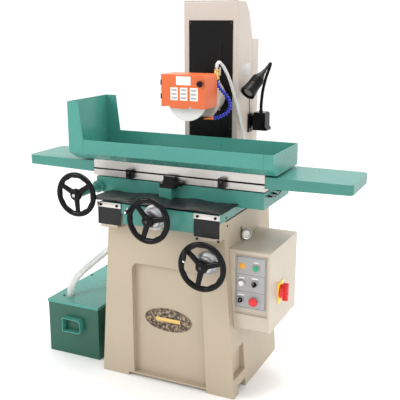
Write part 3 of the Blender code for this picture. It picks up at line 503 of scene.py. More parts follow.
# Each node that keeps its CAD shape, with the width of its rounded edges.
DRESSED = {
    "base_casting": 0.0035,
    "column_casting": 0.0060,
    "column_rear_cover": 0.0030,
    "column_way_cover": 0.0004,
    "electrical_box": 0.0030,
    "control_panel": 0.0005,
    "coolant_tank": 0.0020,
    "tank_lid": 0.0015,
    "tank_handle": 0.0015,
    "lamp_mount": 0.0020,
    "saddle": 0.0025,
    "shaft_tube": 0.0010,
    "table_stop": 0.0015,
    "table": 0.0008,
    "table_wing_left": 0.0060,
    "table_wing_right": 0.0060,
    "splash_tray": 0.0009,
    "trip_dog_left": 0.0012,
    "trip_dog_right": 0.0012,
    "table_rack": 0.0006,
    "spindle_housing": 0.0020,
    "slot_cover": 0.0004,
    "wheel_guard": 0.0008,
    "guard_door": 0.0008,
    "spindle_motor": 0.0020,
    "spindle_bearing": 0.0004,
    "spindle_shaft": 0.0006,
    "coolant_valve": 0.0006,
    "valve_lever": 0.0008,
    "cross_feed_screw": 0.0004,
    "pinion_shaft": 0.0004,
    "elevating_shaft": 0.0004,
    "elevating_screw": 0.0004,
    "main_disconnect": 0.0020,
}
# The few of them that take another look than their material slot.
REPAINTED = {
    "column_casting": "column_cream",
    "column_rear_cover": "column_cream",
    "column_way_cover": "matt_black",
    "tank_handle": "green_sheet",
    "spindle_housing": "column_cream",
    "slot_cover": "matt_black",
}
for node, width in DRESSED.items():
    dress(node, width, REPAINTED.get(node))


# ---------------------------------------------------------------- hoses
# Added to this script's own Y values, so that they follow the place of the frame's first joint.
SHIFT = Vector((0.0, frame["record"]["behaviour"]["joints"][0]["pos_m"][1] + 0.410, 0.0))
SUPPLY = [(0.109, 0.0905, 1.5155), (0.109, 0.0905, 1.522), (0.1095, 0.0945, 1.534),
          (0.114, 0.110, 1.541), (0.122, 0.137, 1.520), (0.130, 0.160, 1.490),
          (0.138, 0.186, 1.448), (0.147, 0.213, 1.385), (0.156, 0.240, 1.318),
          (0.161, 0.264, 1.257), (0.166, 0.292, 1.180), (0.172, 0.315, 1.080),
          (0.184, 0.340, 0.980), (0.203, 0.365, 0.880), (0.212, 0.390, 0.780),
          (0.214, 0.440, 0.690), (0.214, 0.512, 0.620), (0.194, 0.576, 0.575),
          (0.130, 0.591, 0.545), (0.020, 0.590, 0.520), (-0.100, 0.589, 0.495),
          (-0.190, 0.574, 0.475), (-0.235, 0.530, 0.455), (-0.290, 0.470, 0.425),
          (-0.350, 0.400, 0.380), (-0.385, 0.330, 0.340), (-0.408, 0.3015, 0.3235),
          (-0.424, 0.300, 0.322), (-0.4345, 0.300, 0.322)]
DRAIN = [(-0.450, 0.182, 1.0845), (-0.450, 0.182, 1.076), (-0.450, 0.182, 1.060),
         (-0.456, 0.190, 1.000), (-0.459, 0.200, 0.910), (-0.463, 0.208, 0.810),
         (-0.470, 0.208, 0.710), (-0.488, 0.190, 0.615), (-0.522, 0.155, 0.545),
         (-0.562, 0.098, 0.492), (-0.598, 0.030, 0.450), (-0.630, -0.040, 0.408),
         (-0.650, -0.088, 0.364), (-0.657, -0.105, 0.320), (-0.657, -0.105, 0.285),
         (-0.657, -0.105, 0.250)]


def run_length(run):
    return sum((b - a).length for a, b in zip(run, run[1:]))


def hose(name, run, radius, node):
    """A stretch of hose along a run, on no body, in place of the CAD node that it hides."""
    made = finish_piece(name, add_tube(bmesh.new(), run, radius, 20), "clear_hose", None, 50.0)
    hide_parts(node)
    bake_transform(made)


SUPPLY_RADIUS = 0.0075
DRAIN_RADIUS = 0.0185
supply_run = [place + SHIFT for place in smooth_run(SUPPLY, 6)]
hose("supply_hose_visual", supply_run, SUPPLY_RADIUS, "supply_hose")
drain_run = [place + SHIFT for place in smooth_run(DRAIN, 6)]
DRAIN_JOIN = 0.62
join = next(i for i, place in enumerate(drain_run) if place.z < DRAIN_JOIN)
hose("drain_hose_upper", drain_run[:join + 1], DRAIN_RADIUS, "drain_hose")
hose("drain_hose_lower", list(reversed(drain_run[join:])), DRAIN_RADIUS, "drain_hose")


# ---------------------------------------------------------------- handwheels
RIM = 0.0128


def add_rim(shape, centre, radius):
    """Adds a round rim with twelve finger grips on its inner side."""
    steps, sides = 144, 14
    rings = []
    for i in range(steps):
        angle = math.tau * i / steps
        grip = 0.5 + 0.5 * math.cos(12 * angle)
        outward = Vector((math.cos(angle), 0.0, math.sin(angle)))
        ring = []
        for k in range(sides):
            turn = math.tau * k / sides
            swell = 0.0028 * grip * max(0.0, -math.cos(turn))
            distance = radius - RIM + RIM * math.cos(turn) - swell
            ring.append(shape.verts.new(centre + outward * distance
                                        + Vector((0.0, RIM * math.sin(turn), 0.0))))
        rings.append(ring)
    bridge(shape, rings + rings[:1])


def add_spoke(shape, centre, radius, angle):
    """Adds a flat spoke that flares where it meets the hub and the rim."""
    outward = Vector((math.cos(angle), 0.0, math.sin(angle)))
    across = Vector((-math.sin(angle), 0.0, math.cos(angle)))
    deep = Vector((0.0, 1.0, 0.0))
    steps, sides = 12, 12
    inner = 0.014
    sections = []
    for j in range(steps + 1):
        t = j / steps
        distance = inner + (radius - RIM - inner) * t
        flare = 0.0065 * (max(0.0, 0.25 - t) / 0.25) ** 2 + 0.007 * (max(0.0, t - 0.72) / 0.28) ** 2
        wide = 0.0152 - 0.0034 * t + flare
        thick = 0.0080 - 0.0010 * t + flare * 0.4
        sections.append([shape.verts.new(centre + outward * distance
                                         + across * wide * math.cos(math.tau * k / sides)
                                         + deep * thick * math.sin(math.tau * k / sides))
                         for k in range(sides)])
    bridge(shape, sections)
    shape.faces.new(sections[0])
    shape.faces.new(list(reversed(sections[-1])))


def wheel(name, node, body, first_spoke):
    """Handwheel with finger grips inside its rim, flared spokes and a hub with a nut."""
    low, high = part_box(node)
    centre = (low + high) / 2
    radius = (high.x - low.x) / 2
    half = (high.y - low.y) / 2
    shape = bmesh.new()
    add_rim(shape, centre, radius)
    for i in range(3):
        add_spoke(shape, centre, radius, math.radians(first_spoke + 120.0 * i))
    hub = [(0.0, -half - 0.003), (0.0085, -half - 0.003), (0.0105, -half - 0.001), (0.0110, -half),
           (0.0200, -half), (0.0250, -half + 0.003), (0.0290, -half + 0.012), (0.0300, 0.0),
           (0.0270, half - 0.010), (0.0200, half), (0.0115, half)]
    add_turned(shape, hub, centre, "Y")
    made = finish_piece(name, shape, "black_enamel", body, 40.0)
    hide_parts(node)
    nut = [(0.0, -half - 0.0065), (0.0060, -half - 0.0065), (0.0080, -half - 0.0050),
           (0.0080, -half), (0.0, -half)]
    turned(name + "_nut", nut, centre, "dark_steel", body, "Y", 6, 20.0)


for name, node, body, first_spoke in (
        ("cross_wheel_visual", "cross_feed_handwheel", "cross_wheel", 132.0),
        ("drive_wheel_visual", "table_handwheel", "drive_wheel", 34.0),
        ("lift_wheel_visual", "elevating_handwheel", "lift_wheel", 137.0)):
    wheel(name, node, body, first_spoke)


def dial(name, node, body):
    """Graduated dial: knurled barrel, bevelled face and engraved ticks."""
    low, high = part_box(node)
    centre = (low + high) / 2
    outer = (high.x - low.x) / 2
    front, rear = low.y - centre.y, high.y - centre.y
    profile = [(0.011, front), (outer * 0.52, front), (outer * 0.66, front + 0.002),
               (outer * 0.70, front + 0.005), (outer * 0.70, front + 0.020),
               (outer * 0.90, front + 0.025), (outer * 0.985, front + 0.0275),
               (outer, front + 0.030), (outer, rear - 0.001), (outer * 0.98, rear), (0.011, rear)]
    made = turned(name, profile, centre, "chrome", body, "Y", 96, 25.0)
    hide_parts(node)
    ticks = bmesh.new()
    for i in range(80):
        angle = math.tau * i / 80
        length = 0.0055 if i % 10 == 0 else (0.0042 if i % 5 == 0 else 0.0028)
        turn = Matrix.Translation(centre) @ Matrix.Rotation(angle, 4, "Y")
        start = front + 0.031
        matrix = turn @ Matrix.Translation((outer, start + length / 2, 0.0))
        matrix = matrix @ Matrix.Diagonal((0.0004, length, 0.0007, 1.0))
        bmesh.ops.create_cube(ticks, size=1.0, matrix=matrix)
    finish_piece(name + "_ticks", ticks, "black_enamel", body)
    knurl = bmesh.new()
    for i in range(60):
        turn = Matrix.Translation(centre) @ Matrix.Rotation(math.tau * i / 60, 4, "Y")
        matrix = turn @ Matrix.Translation((outer * 0.70, front + 0.0120, 0.0))
        matrix = matrix @ Matrix.Rotation(math.radians(45.0), 4, "Y")
        matrix = matrix @ Matrix.Diagonal((0.0019, 0.0130, 0.0019, 1.0))
        bmesh.ops.create_cube(knurl, size=1.0, matrix=matrix)
    finish_piece(name + "_knurl", knurl, "chrome", body)


dial("cross_dial_visual", "cross_feed_dial", "cross_wheel")
dial("lift_dial_visual", "elevating_dial", "lift_wheel")

low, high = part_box("cross_feed_crank")
middle_x, middle_z = (low.x + high.x) / 2, (low.z + high.z) / 2
grip = [(0.0, 0.0005), (0.0050, 0.0010), (0.0078, 0.0040), (0.0092, 0.0100), (0.0094, 0.0180),
        (0.0082, 0.0260), (0.0066, 0.0310), (0.0072, 0.0350), (0.0072, 0.0380), (0.0, 0.0380)]
handle = turned("cross_grip_visual", grip, (middle_x, low.y, middle_z), "black_plastic",
                "cross_handle", "Y", 32, 60.0)
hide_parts("cross_feed_crank")
turned("cross_grip_cap", [(0.0, -0.0018), (0.0036, -0.0010), (0.0050, 0.0012), (0.0, 0.0012)],
       (middle_x, low.y, middle_z), "bright_chrome", "cross_handle", "Y", 24, 60.0)

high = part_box("elevating_crank")[1]
hinge = joint_place("elevating_handle_fold")
tip = Vector((high.x - 0.0085, hinge.y - 0.004, high.z - 0.002))
folded = tube("folding_grip_visual", [hinge.lerp(tip, t / 14) for t in range(15)],
              lambda t: 0.0050 + 0.0042 * math.sin(math.pi * min(1.0, t * 0.85 + 0.08)) ** 0.8,
              "black_plastic", "lift_handle", 20)
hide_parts("elevating_crank")
turned("folding_grip_pin", [(0.0, -0.0020), (0.0042, -0.0010), (0.0052, 0.0015), (0.0, 0.0015)],
       (hinge.x, hinge.y - 0.0060, hinge.z), "bright_chrome", "lift_handle", "Y", 24, 60.0)


# ---------------------------------------------------------------- grinding head
low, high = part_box("grinding_wheel")
centre = (low + high) / 2
radius = (high.x - low.x) / 2
half = (high.y - low.y) / 2
wheel_profile = [(0.0162, -half), (radius * 0.42, -half), (radius - 0.0012, -half),
                 (radius, -half + 0.0012), (radius, half - 0.0012), (radius - 0.0012, half),
                 (0.0162, half)]
made = turned("abrasive_wheel_visual", wheel_profile, centre, "abrasive", "spindle", "Y", 128, 30.0)
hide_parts("grinding_wheel")
blotter = [(0.0310, -half - 0.0002), (0.0420, -half - 0.0002), (0.0420, -half + 0.0003)]
turned("wheel_blotter", blotter, centre, "label", "spindle", "Y", 64)

flange_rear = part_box("wheel_flange")[1].y - centre.y
flange = [(0.0095, -half - 0.0140), (0.0150, -half - 0.0140), (0.0155, -half - 0.0125),
          (0.0280, -half - 0.0120), (0.0300, -half - 0.0100), (0.0300, -half - 0.0003),
          (0.0157, -half - 0.0003), (0.0157, half + 0.0003), (0.0380, half + 0.0003),
          (0.0380, flange_rear), (0.0100, flange_rear)]
made = turned("wheel_flange_visual", flange, centre, "steel", "spindle", "Y", 64)
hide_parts("wheel_flange")

door_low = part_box("guard_door")[0]
knob = middle("guard_knob")
knob_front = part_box("guard_knob")[0].y
shape = bmesh.new()
add_turned(shape, [(0.0, 0.0), (0.0085, 0.0), (0.0120, 0.0015), (0.0140, 0.0040), (0.0140, 0.0130),
                   (0.0128, 0.0160), (0.0070, 0.0170), (0.0070, 0.0247), (0.0, 0.0247)],
           (knob.x, knob_front, knob.z), "Y", 48)
made = finish_piece("guard_knob_visual", shape, "black_plastic", "door_knob")
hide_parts("guard_knob")
flutes = bmesh.new()
for i in range(20):
    turn = Matrix.Translation(Vector((knob.x, knob_front + 0.0085, knob.z)))
    turn = turn @ Matrix.Rotation(math.tau * i / 20, 4, "Y") @ Matrix.Translation((0.0138, 0, 0))
    bmesh.ops.create_cube(flutes, size=1.0, matrix=turn @ Matrix.Diagonal((0.0016, 0.0085, 0.0018, 1)))
finish_piece("guard_knob_flutes", flutes, "black_plastic", "door_knob")

labels = bmesh.new()
face = door_low.y - 0.0003
for x, z, w, h in ((-0.033, 1.442, 0.075, 0.040), (-0.063, 1.370, 0.038, 0.060),
                   (-0.013, 1.370, 0.038, 0.060), (0.039, 1.370, 0.040, 0.060)):
    add_block(labels, (x, face, z), (x + w, face + 0.0010, z + h), 0.0002, 1)
finish_piece("guard_labels", labels, "label", "door")
bars = bmesh.new()
for column in (-0.0585, -0.0085, 0.0435):
    for row in range(3):
        z = 1.3765 + row * 0.0185
        add_block(bars, (column, face - 0.0002, z), (column + 0.029, face + 0.0006, z + 0.0100),
                  0.0001, 1)
finish_piece("guard_label_boxes", bars, "grey_panel", "door")

hinges = bmesh.new()
for z in (1.375, 1.440):
    add_turned(hinges, [(0.0, 0.0), (0.0035, 0.0), (0.0042, 0.001), (0.0042, 0.023), (0.0035, 0.024),
                        (0.0, 0.024)], (door_low.x + 0.0005, door_low.y + 0.0015, z), "Z", 24)
finish_piece("guard_hinges", hinges, "dark_steel", "head")


# ---------------------------------------------------------------- coolant arm
ARM = [(0.109, 0.0905, 1.4584), (0.109, 0.0905, 1.454), (0.109, 0.0905, 1.449),
       (0.126, 0.088, 1.421), (0.156, 0.083, 1.394), (0.179, 0.077, 1.368), (0.190, 0.070, 1.340),
       (0.180, 0.062, 1.312), (0.154, 0.054, 1.293), (0.126, 0.0475, 1.2822),
       (0.112, 0.0458, 1.2808)]


def spaced(run, count):
    """Points at equal distances along a run."""
    total = run_length(run)
    targets = [total * i / count for i in range(count + 1)]
    places, walked = [run[0]], 0.0
    for a, b in zip(run, run[1:]):
        step = (b - a).length
        while len(places) < count and walked + step >= targets[len(places)]:
            t = (targets[len(places)] - walked) / max(step, 1e-9)
            places.append(a.lerp(b, t))
        walked += step
    places.append(run[-1])
    return places


arm_run = spaced([p + SHIFT for p in smooth_run(ARM, 12)], 18)
segments = bmesh.new()
for here, there in zip(arm_run, arm_run[1:]):
    ahead = there - here
    turn = ahead.to_track_quat("Z", "Y").to_matrix().to_4x4()
    n = ahead.length
    bead = [(0.0040, -0.001), (0.0050, 0.0), (0.0072, n * 0.12), (0.0096, n * 0.30),
            (0.0100, n * 0.45), (0.0090, n * 0.62), (0.0064, n * 0.72), (0.0046, n * 0.80),
            (0.0046, n * 1.05)]
    add_turned(segments, bead, here, turn, 20)
arm = finish_piece("coolant_arm_visual", segments, "blue_plastic", "head", 30.0)
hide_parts("coolant_arm")
tip_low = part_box("coolant_nozzle")[0]
nozzle_start = arm_run[-1]
nozzle_end = Vector((tip_low.x + 0.001, tip_low.y + 0.0040, tip_low.z + 0.0042))
along = nozzle_end - nozzle_start
spray = turned("coolant_nozzle_visual",
               [(0.0060, -0.002), (0.0086, 0.0010), (0.0088, 0.0080), (0.0070, 0.0110),
                (0.0060, 0.0180), (0.0046, 0.0300), (0.0034, along.length), (0.0022, along.length),
                (0.0022, 0.020)],
               nozzle_start, "orange_plastic", "head",
               along.to_track_quat("Z", "Y").to_matrix().to_4x4(), 28)
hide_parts("coolant_nozzle")

VALVE = Vector((0.109, 0.0905, 0.0)) + SHIFT
cock_low, cock_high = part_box("coolant_valve")
hexes = bmesh.new()
for z in (cock_low.z + 0.003, cock_high.z - 0.016):
    add_turned(hexes, [(0.0, 0.0), (0.0130, 0.0), (0.0145, 0.0012), (0.0145, 0.0085), (0.0130, 0.0100),
                       (0.0, 0.0100)], (VALVE.x, VALVE.y, z), "Z", 6)
barrel_height = cock_high.z - cock_low.z - 0.026
add_turned(hexes, [(0.0, 0.0), (0.0118, 0.0), (0.0128, 0.0030), (0.0128, barrel_height - 0.0030),
                   (0.0118, barrel_height), (0.0, barrel_height)],
           (VALVE.x, VALVE.y, cock_low.z + 0.0125), "Z", 32)
finish_piece("valve_hexes", hexes, "brass", "head", 20.0)


# ---------------------------------------------------------------- lamp
GOOSENECK = [(0.206, 0.450, 1.2783), (0.207, 0.450, 1.320), (0.214, 0.450, 1.383),
             (0.229, 0.450, 1.446), (0.242, 0.4495, 1.482), (0.252, 0.446, 1.508),
             (0.2573, 0.4385, 1.5204), (0.2554, 0.4330, 1.5208), (0.2520, 0.4245, 1.5130)]
neck_run = spaced([p + SHIFT for p in smooth_run(GOOSENECK, 10)], 150)
neck = tube("lamp_gooseneck_visual", neck_run,
            lambda t: (0.0080 + 0.0007 * math.cos(math.tau * 75 * t)) * (1.0 - 0.28 * t ** 6),
            "matt_black", "lamp_arm", 14)
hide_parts("lamp_gooseneck")
tilt = joint_place("lamp_tilt")
lens = Vector((0.194, 0.280, 1.380)) + SHIFT
shade_axis = lens - tilt
BALL = 0.0062
neck_end = tilt - shade_axis.normalized() * BALL
length = (lens - neck_end).length
turn = shade_axis.to_track_quat("Z", "Y").to_matrix().to_4x4()
shade_profile = [(BALL * math.sin(math.radians(a)), BALL - BALL * math.cos(math.radians(a)))
                 for a in range(0, 91, 15)]
shade_profile += [(0.0074, 0.0090), (0.0078, 0.034), (0.0100, 0.040),
                 (0.0125, 0.060), (0.0250, 0.090), (0.0322, 0.101), (0.0328, 0.106),
                 (0.0308, 0.108), (0.0308, 0.112), (0.0330, 0.114), (0.0330, 0.122),
                 (0.0310, 0.124), (0.0310, 0.128), (0.0332, 0.130), (0.0332, 0.138),
                 (0.0312, 0.140), (0.0312, 0.144), (0.0336, 0.146), (0.0345, length - 0.044),
                 (0.0385, length - 0.016), (0.0396, length - 0.012), (0.0400, length),
                 (0.0362, length), (0.0345, length - 0.009), (0.0, length - 0.010)]
cone = turned("lamp_shade_visual", shade_profile, neck_end, "matt_black", "lamp_shade", turn, 64, 40.0)
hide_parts("lamp_head")
# The lens is dark grey: painted shade of the lamp's dark inside behind the glass.
turned("lamp_lens", [(0.0, length - 0.0050), (0.0150, length - 0.0054), (0.0240, length - 0.0070),
                     (0.0240, length - 0.0095), (0.0, length - 0.0095)],
       neck_end, "lens_painted_shade", "lamp_shade", turn, 64, 60.0)


# ---------------------------------------------------------------- rubber over the cross ways
sheet_low, sheet_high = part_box("way_cover_sheet")
shape = bmesh.new()
columns, rows = 130, 36
grid = []
for i in range(columns + 1):
    x = sheet_low.x + (sheet_high.x - sheet_low.x) * i / columns
    line = []
    for k in range(rows + 1):
        y = sheet_low.y + (sheet_high.y - sheet_low.y) * k / rows
        wrinkle = noise.noise(Vector((x * 9.0, y * 7.0, 0.3))) * 0.0075
        wrinkle += noise.noise(Vector((x * 24.0, y * 15.0, 4.0))) * 0.0028
        edge = min(1.0, (y - sheet_low.y) / 0.03)
        rise = 0.0105 + wrinkle * (0.85 + 0.15 * edge) - 0.0035 * (1.0 - edge) ** 2
        line.append(shape.verts.new((x, y, max(sheet_low.z + 0.0010, sheet_low.z + rise))))
    grid.append(line)
# The sheet is cut out round the pedestal of the table's stop.
pedestal_low, pedestal_high = -0.068, 0.002
pedestal_front = SHIFT.y - 0.188
for i in range(columns):
    for k in range(rows):
        corners = [grid[i][k], grid[i + 1][k], grid[i + 1][k + 1], grid[i][k + 1]]
        centre = sum((v.co for v in corners), Vector()) / 4
        if pedestal_low < centre.x < pedestal_high and centre.y > pedestal_front:
            continue
        shape.faces.new(corners)
loose = [v for v in shape.verts if not v.link_faces]
bmesh.ops.delete(shape, geom=loose, context="VERTS")
cover = finish_piece("way_sheet_visual", shape, "rubber", "cross_slide", 80.0)
thickness = cover.modifiers.new("thickness", "SOLIDIFY")
thickness.thickness = 0.0018
thickness.offset = 1.0
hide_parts("way_cover_sheet")

for node, name in (("way_flap_left", "left_flap"), ("way_flap_right", "right_flap")):
    low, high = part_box(node)
    shape = bmesh.new()
    across, down = 16, 48
    front = []
    for i in range(across + 1):
        line = []
        for k in range(down + 1):
            t = k / down
            x = low.x + (high.x - low.x) * i / across
            z = low.z + (high.z - low.z) * t
            curl = 0.0020 * math.sin(i * 0.9) * (1.0 - t) - 0.0030 * (1.0 - t) ** 2
            line.append(shape.verts.new((x, low.y + curl * 0.6 - 0.0002, z)))
        front.append(line)
    for i in range(across):
        for k in range(down):
            shape.faces.new([front[i][k], front[i + 1][k], front[i + 1][k + 1], front[i][k + 1]])
    grown = bmesh.ops.extrude_face_region(shape, geom=list(shape.faces))
    rear = [part for part in grown["geom"] if isinstance(part, bmesh.types.BMVert)]
    bmesh.ops.translate(shape, verts=rear, vec=(0.0, 0.0026, 0.0))
    flap = finish_piece(name, shape, "rubber", None, 80.0)
    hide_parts(node)
    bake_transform(flap)
    strip_low = (low.x - 0.002, low.y - 0.0028, high.z - 0.022)
    strip_high = (high.x + 0.002, low.y - 0.0004, high.z + 0.0020)
    block(name + "_strip", strip_low, strip_high, "steel", "cross_slide", 0.0006)
    places = [(x, low.y - 0.0028, high.z - 0.0105) for x in (low.x + 0.018, high.x - 0.018)]
    screws(name + "_screws", places, 0.0066, 0.0045, facing("Y", -1), "black_plastic", "cross_slide")


# ---------------------------------------------------------------- controls
def button(name, node, look, body, dome):
    """Push button with a chamfered skirt and a shallow dome."""
    low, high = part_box(node)
    centre = (low + high) / 2
    radius = (high.x - low.x) / 2
    depth = high.y - low.y - 0.0006
    profile = [(0.0, dome), (radius * 0.45, dome * 0.8), (radius * 0.80, 0.0004),
               (radius * 0.92, 0.0), (radius, 0.0010), (radius, depth), (0.0, depth)]
    made = turned(name, profile, (centre.x, low.y, centre.z), look, body, "Y", 48)
    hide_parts(node)


button("start_button_visual", "start_button", "green_plastic", "start", 0.0008)
button("white_button_visual", "white_button", "white_plastic", "white", 0.0008)

low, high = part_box("emergency_stop")
centre = (low + high) / 2
radius = (high.x - low.x) / 2
mushroom = [(0.0, 0.0004), (radius * 0.30, 0.0), (radius * 0.62, 0.0008), (radius * 0.86, 0.0030),
            (radius * 0.98, 0.0065), (radius, 0.0095), (radius * 0.94, 0.0115),
            (radius * 0.55, 0.0130), (radius * 0.55, 0.0205), (0.0, 0.0205)]
made = turned("emergency_stop_visual", mushroom, (centre.x, low.y, centre.z), "red_plastic",
              "estop", "Y", 64, 50.0)
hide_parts("emergency_stop")

panel_low, panel_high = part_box("control_panel")
plate = panel_high.y - 0.003
for name in ("start_button", "white_button", "coolant_switch", "mode_selector", "emergency_stop"):
    place = middle(name)
    bezel = [(0.0126, -0.0074), (0.0142, -0.0078), (0.0162, -0.0066), (0.0172, -0.0030),
             (0.0172, 0.0), (0.0126, 0.0)]
    turned(name + "_bezel", bezel, (place.x, plate, place.z), "chrome", "machine", "Y", 48, 30.0)

for name, body, tilt_angle in (("coolant_switch", "coolant_knob", 0.0),
                               ("mode_selector", "mode_knob", 35.0)):
    low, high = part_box(name)
    place = (low + high) / 2
    shape = bmesh.new()
    add_turned(shape, [(0.0, 0.0085), (0.0116, 0.0088), (0.0119, 0.0100), (0.0119, 0.0180), (0.0, 0.0180)],
               (place.x, low.y - 0.0005, place.z), "Y", 48)
    before = set(shape.verts)
    add_block(shape, (place.x - 0.0036, low.y, place.z - 0.0110),
              (place.x + 0.0036, low.y + 0.0110, place.z + 0.0110), 0.0012)
    new = [v for v in shape.verts if v not in before]
    bmesh.ops.rotate(shape, verts=new, cent=place, matrix=Matrix.Rotation(math.radians(tilt_angle), 3, "Y"))
    made = finish_piece(name + "_visual", shape, "black_plastic", body)
    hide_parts(name)
    mark = bmesh.new()
    add_block(mark, (place.x - 0.0006, low.y - 0.0003, place.z + 0.002),
              (place.x + 0.0006, low.y + 0.0005, place.z + 0.0105), 0.0)
    bmesh.ops.rotate(mark, verts=mark.verts, cent=place,
                     matrix=Matrix.Rotation(math.radians(tilt_angle), 3, "Y"))
    finish_piece(name + "_mark", mark, "label", body)

LINE = 0.0012
left, right = panel_low.x + 0.003, panel_high.x - 0.003
foot, top = panel_low.z + 0.004, panel_high.z - 0.004
level_lines = [(left, z, right, z + LINE) for z in (0.612, 0.530, foot, top - LINE)]
upright_lines = [(x, foot, x + LINE, top) for x in (left, right - LINE)]
lines = bmesh.new()
for x0, z0, x1, z1 in level_lines + upright_lines:
    add_block(lines, (x0, plate - 0.0003, z0), (x1, plate + 0.0002, z1), 0.0)
finish_piece("panel_lines", lines, "dark_steel", "machine")
captions = bmesh.new()
for place, w in ((middle("start_button"), 0.026), (middle("white_button"), 0.026),
                 (middle("coolant_switch"), 0.030), (middle("mode_selector"), 0.030)):
    add_block(captions, (place.x - w / 2, plate - 0.0004, place.z + 0.0215),
              (place.x + w / 2, plate + 0.0002, place.z + 0.0275), 0.0002, 1)
finish_piece("panel_captions", captions, "label", "machine")
sign = Vector((middle("mode_selector").x + 0.004, plate, middle("start_button").z + 0.002))
block("panel_sign", sign + Vector((-0.0150, -0.0006, -0.0130)), sign + Vector((0.0150, 0.0002, 0.0130)),
      "amber", "machine", 0.0002)
places = [(x, plate, z) for x in (panel_low.x + 0.009, panel_high.x - 0.009)
          for z in (panel_low.z + 0.009, panel_high.z - 0.009)]
screws("panel_screws", places, 0.0035, 0.0018, facing("Y", -1), "chrome", "machine")

box_low, box_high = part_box("electrical_box")
knob_low, knob_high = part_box("main_disconnect")
knob = (knob_low + knob_high) / 2
block("isolator_plate", (box_high.x - 0.0005, knob.y - 0.0420, knob.z - 0.0520),
      (box_high.x + 0.0025, knob.y + 0.0420, knob.z + 0.0520), "yellow_plastic", "machine", 0.0008)
shape = bmesh.new()
add_turned(shape, [(0.0, 0.0), (0.0330, 0.0), (0.0330, 0.0050), (0.0300, 0.0080), (0.0290, 0.0180),
                   (0.0270, 0.0200), (0.0, 0.0200)], (box_high.x + 0.0028, knob.y, knob.z), "X", 56)
add_block(shape, (box_high.x + 0.012, knob.y - 0.0105, knob.z - 0.0425),
          (knob_high.x - 0.0005, knob.y + 0.0105, knob.z + 0.0425), 0.0040, 3)
made = finish_piece("isolator_visual", shape, "red_plastic", "isolator", 40.0)
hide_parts("main_disconnect")

places = [(box_high.x - 0.040, box_high.y - 0.0002, z)
          for z in (box_low.z + 0.045, box_high.z - 0.045)]
screws("cabinet_screws", places, 0.0050, 0.0025, facing("Y", 1), "dark_steel", "machine")


# ---------------------------------------------------------------- base details
base_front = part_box("base_casting")[0].y
plaque_low, plaque_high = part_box("front_plaque")
centre = (plaque_low + plaque_high) / 2
shape = bmesh.new()
outline = []
for level, grow in ((plaque_high.y, 1.0), (plaque_low.y + 0.0006, 1.0), (plaque_low.y, 0.985),
                    (plaque_low.y, 0.935), (plaque_low.y + 0.0014, 0.925)):
    half_x = (plaque_high.x - plaque_low.x) / 2 - 0.126 * (1 - grow) * 0.7
    half_z = (plaque_high.z - plaque_low.z) / 2 - 0.126 * (1 - grow) * 0.7
    outline.append([shape.verts.new((centre.x + half_x * math.cos(math.tau * i / 96), level,
                                     centre.z + half_z * math.sin(math.tau * i / 96)))
                    for i in range(96)])
bridge(shape, outline)
shape.faces.new(outline[-1])
shape.faces.new(list(reversed(outline[0])))
made = finish_piece("front_plaque_visual", shape, "badge", "machine", 25.0)
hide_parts("front_plaque")
relief = bmesh.new()
add_block(relief, (centre.x - 0.066, plaque_low.y + 0.0004, centre.z - 0.0100),
          (centre.x + 0.066, plaque_low.y + 0.0018, centre.z + 0.0100), 0.0006)
for side in (-1, 1):
    add_turned(relief, [(0.0, 0.0), (0.0026, 0.0), (0.0032, 0.0008), (0.0032, 0.0020), (0.0, 0.0020)],
               (centre.x + side * 0.098, plaque_low.y + 0.0002, centre.z), "Y", 20)
finish_piece("front_plaque_relief", relief, "brass", "machine")

sight = Vector((0.3280, SHIFT.y - 0.0500, 0.7560))
outward = Vector((0.62, -0.78, 0.0)).to_track_quat("Z", "Y").to_matrix().to_4x4()
ring_profile = [(0.0175, 0.0040), (0.0190, 0.0085), (0.0235, 0.0100), (0.0258, 0.0085), (0.0262, 0.0040),
                (0.0262, -0.0040), (0.0175, -0.0040)]
turned("sight_glass_ring", ring_profile, sight, "steel", "machine", outward, 56, 30.0)
dome = [(0.0, 0.0060), (0.0090, 0.0055), (0.0171, 0.0035), (0.0171, -0.0030), (0.0, -0.0030)]
turned("sight_glass_lens", dome, sight, "glass", "machine", outward, 48, 60.0)
stub = [(0.0, -0.0030), (0.0160, -0.0035), (0.0150, -0.0280), (0.0, -0.0280)]
turned("sight_glass_stub", stub, sight, "steel", "machine", outward, 40, 30.0)
block("sight_glass_plate", (0.3045, SHIFT.y - 0.0640, 0.7280), (0.3080, SHIFT.y - 0.0560, 0.7920),
      "dark_steel", "machine", 0.0006)
small = bmesh.new()
add_screw_head(small, (0.3050, SHIFT.y - 0.228, 0.839), 0.0045, 0.0030, facing("X", 1))
for x in (0.200, 0.304):
    add_screw_head(small, (x, base_front - 0.0002, 0.793), 0.0062, 0.0045, facing("Y", -1))
finish_piece("base_screws", small, "dark_steel", "machine")
for side, name in ((-1, "left"), (1, "right")):
    shape = bmesh.new()
    x0, x1 = sorted((side * 0.2115, side * 0.3035))
    add_block(shape, (x0, SHIFT.y - 0.3290, 0.7960), (x1, SHIFT.y - 0.3245, 0.8180), 0.0008)
    finish_piece(name + "_way_wiper_bar", shape, "cream_sheet", "machine")

bolt = [(0.0, 0.0), (0.0110, 0.0), (0.0120, 0.0010), (0.0120, 0.0100), (0.0, 0.0100)]
feet = bmesh.new()
for x in (-0.33012, 0.33012):
    for y in (-0.232, 0.300):
        add_turned(feet, bolt, (x, SHIFT.y + y, 0.0001), "Z", 6)
finish_piece("levelling_feet", feet, "dark_steel", "machine", 20.0)


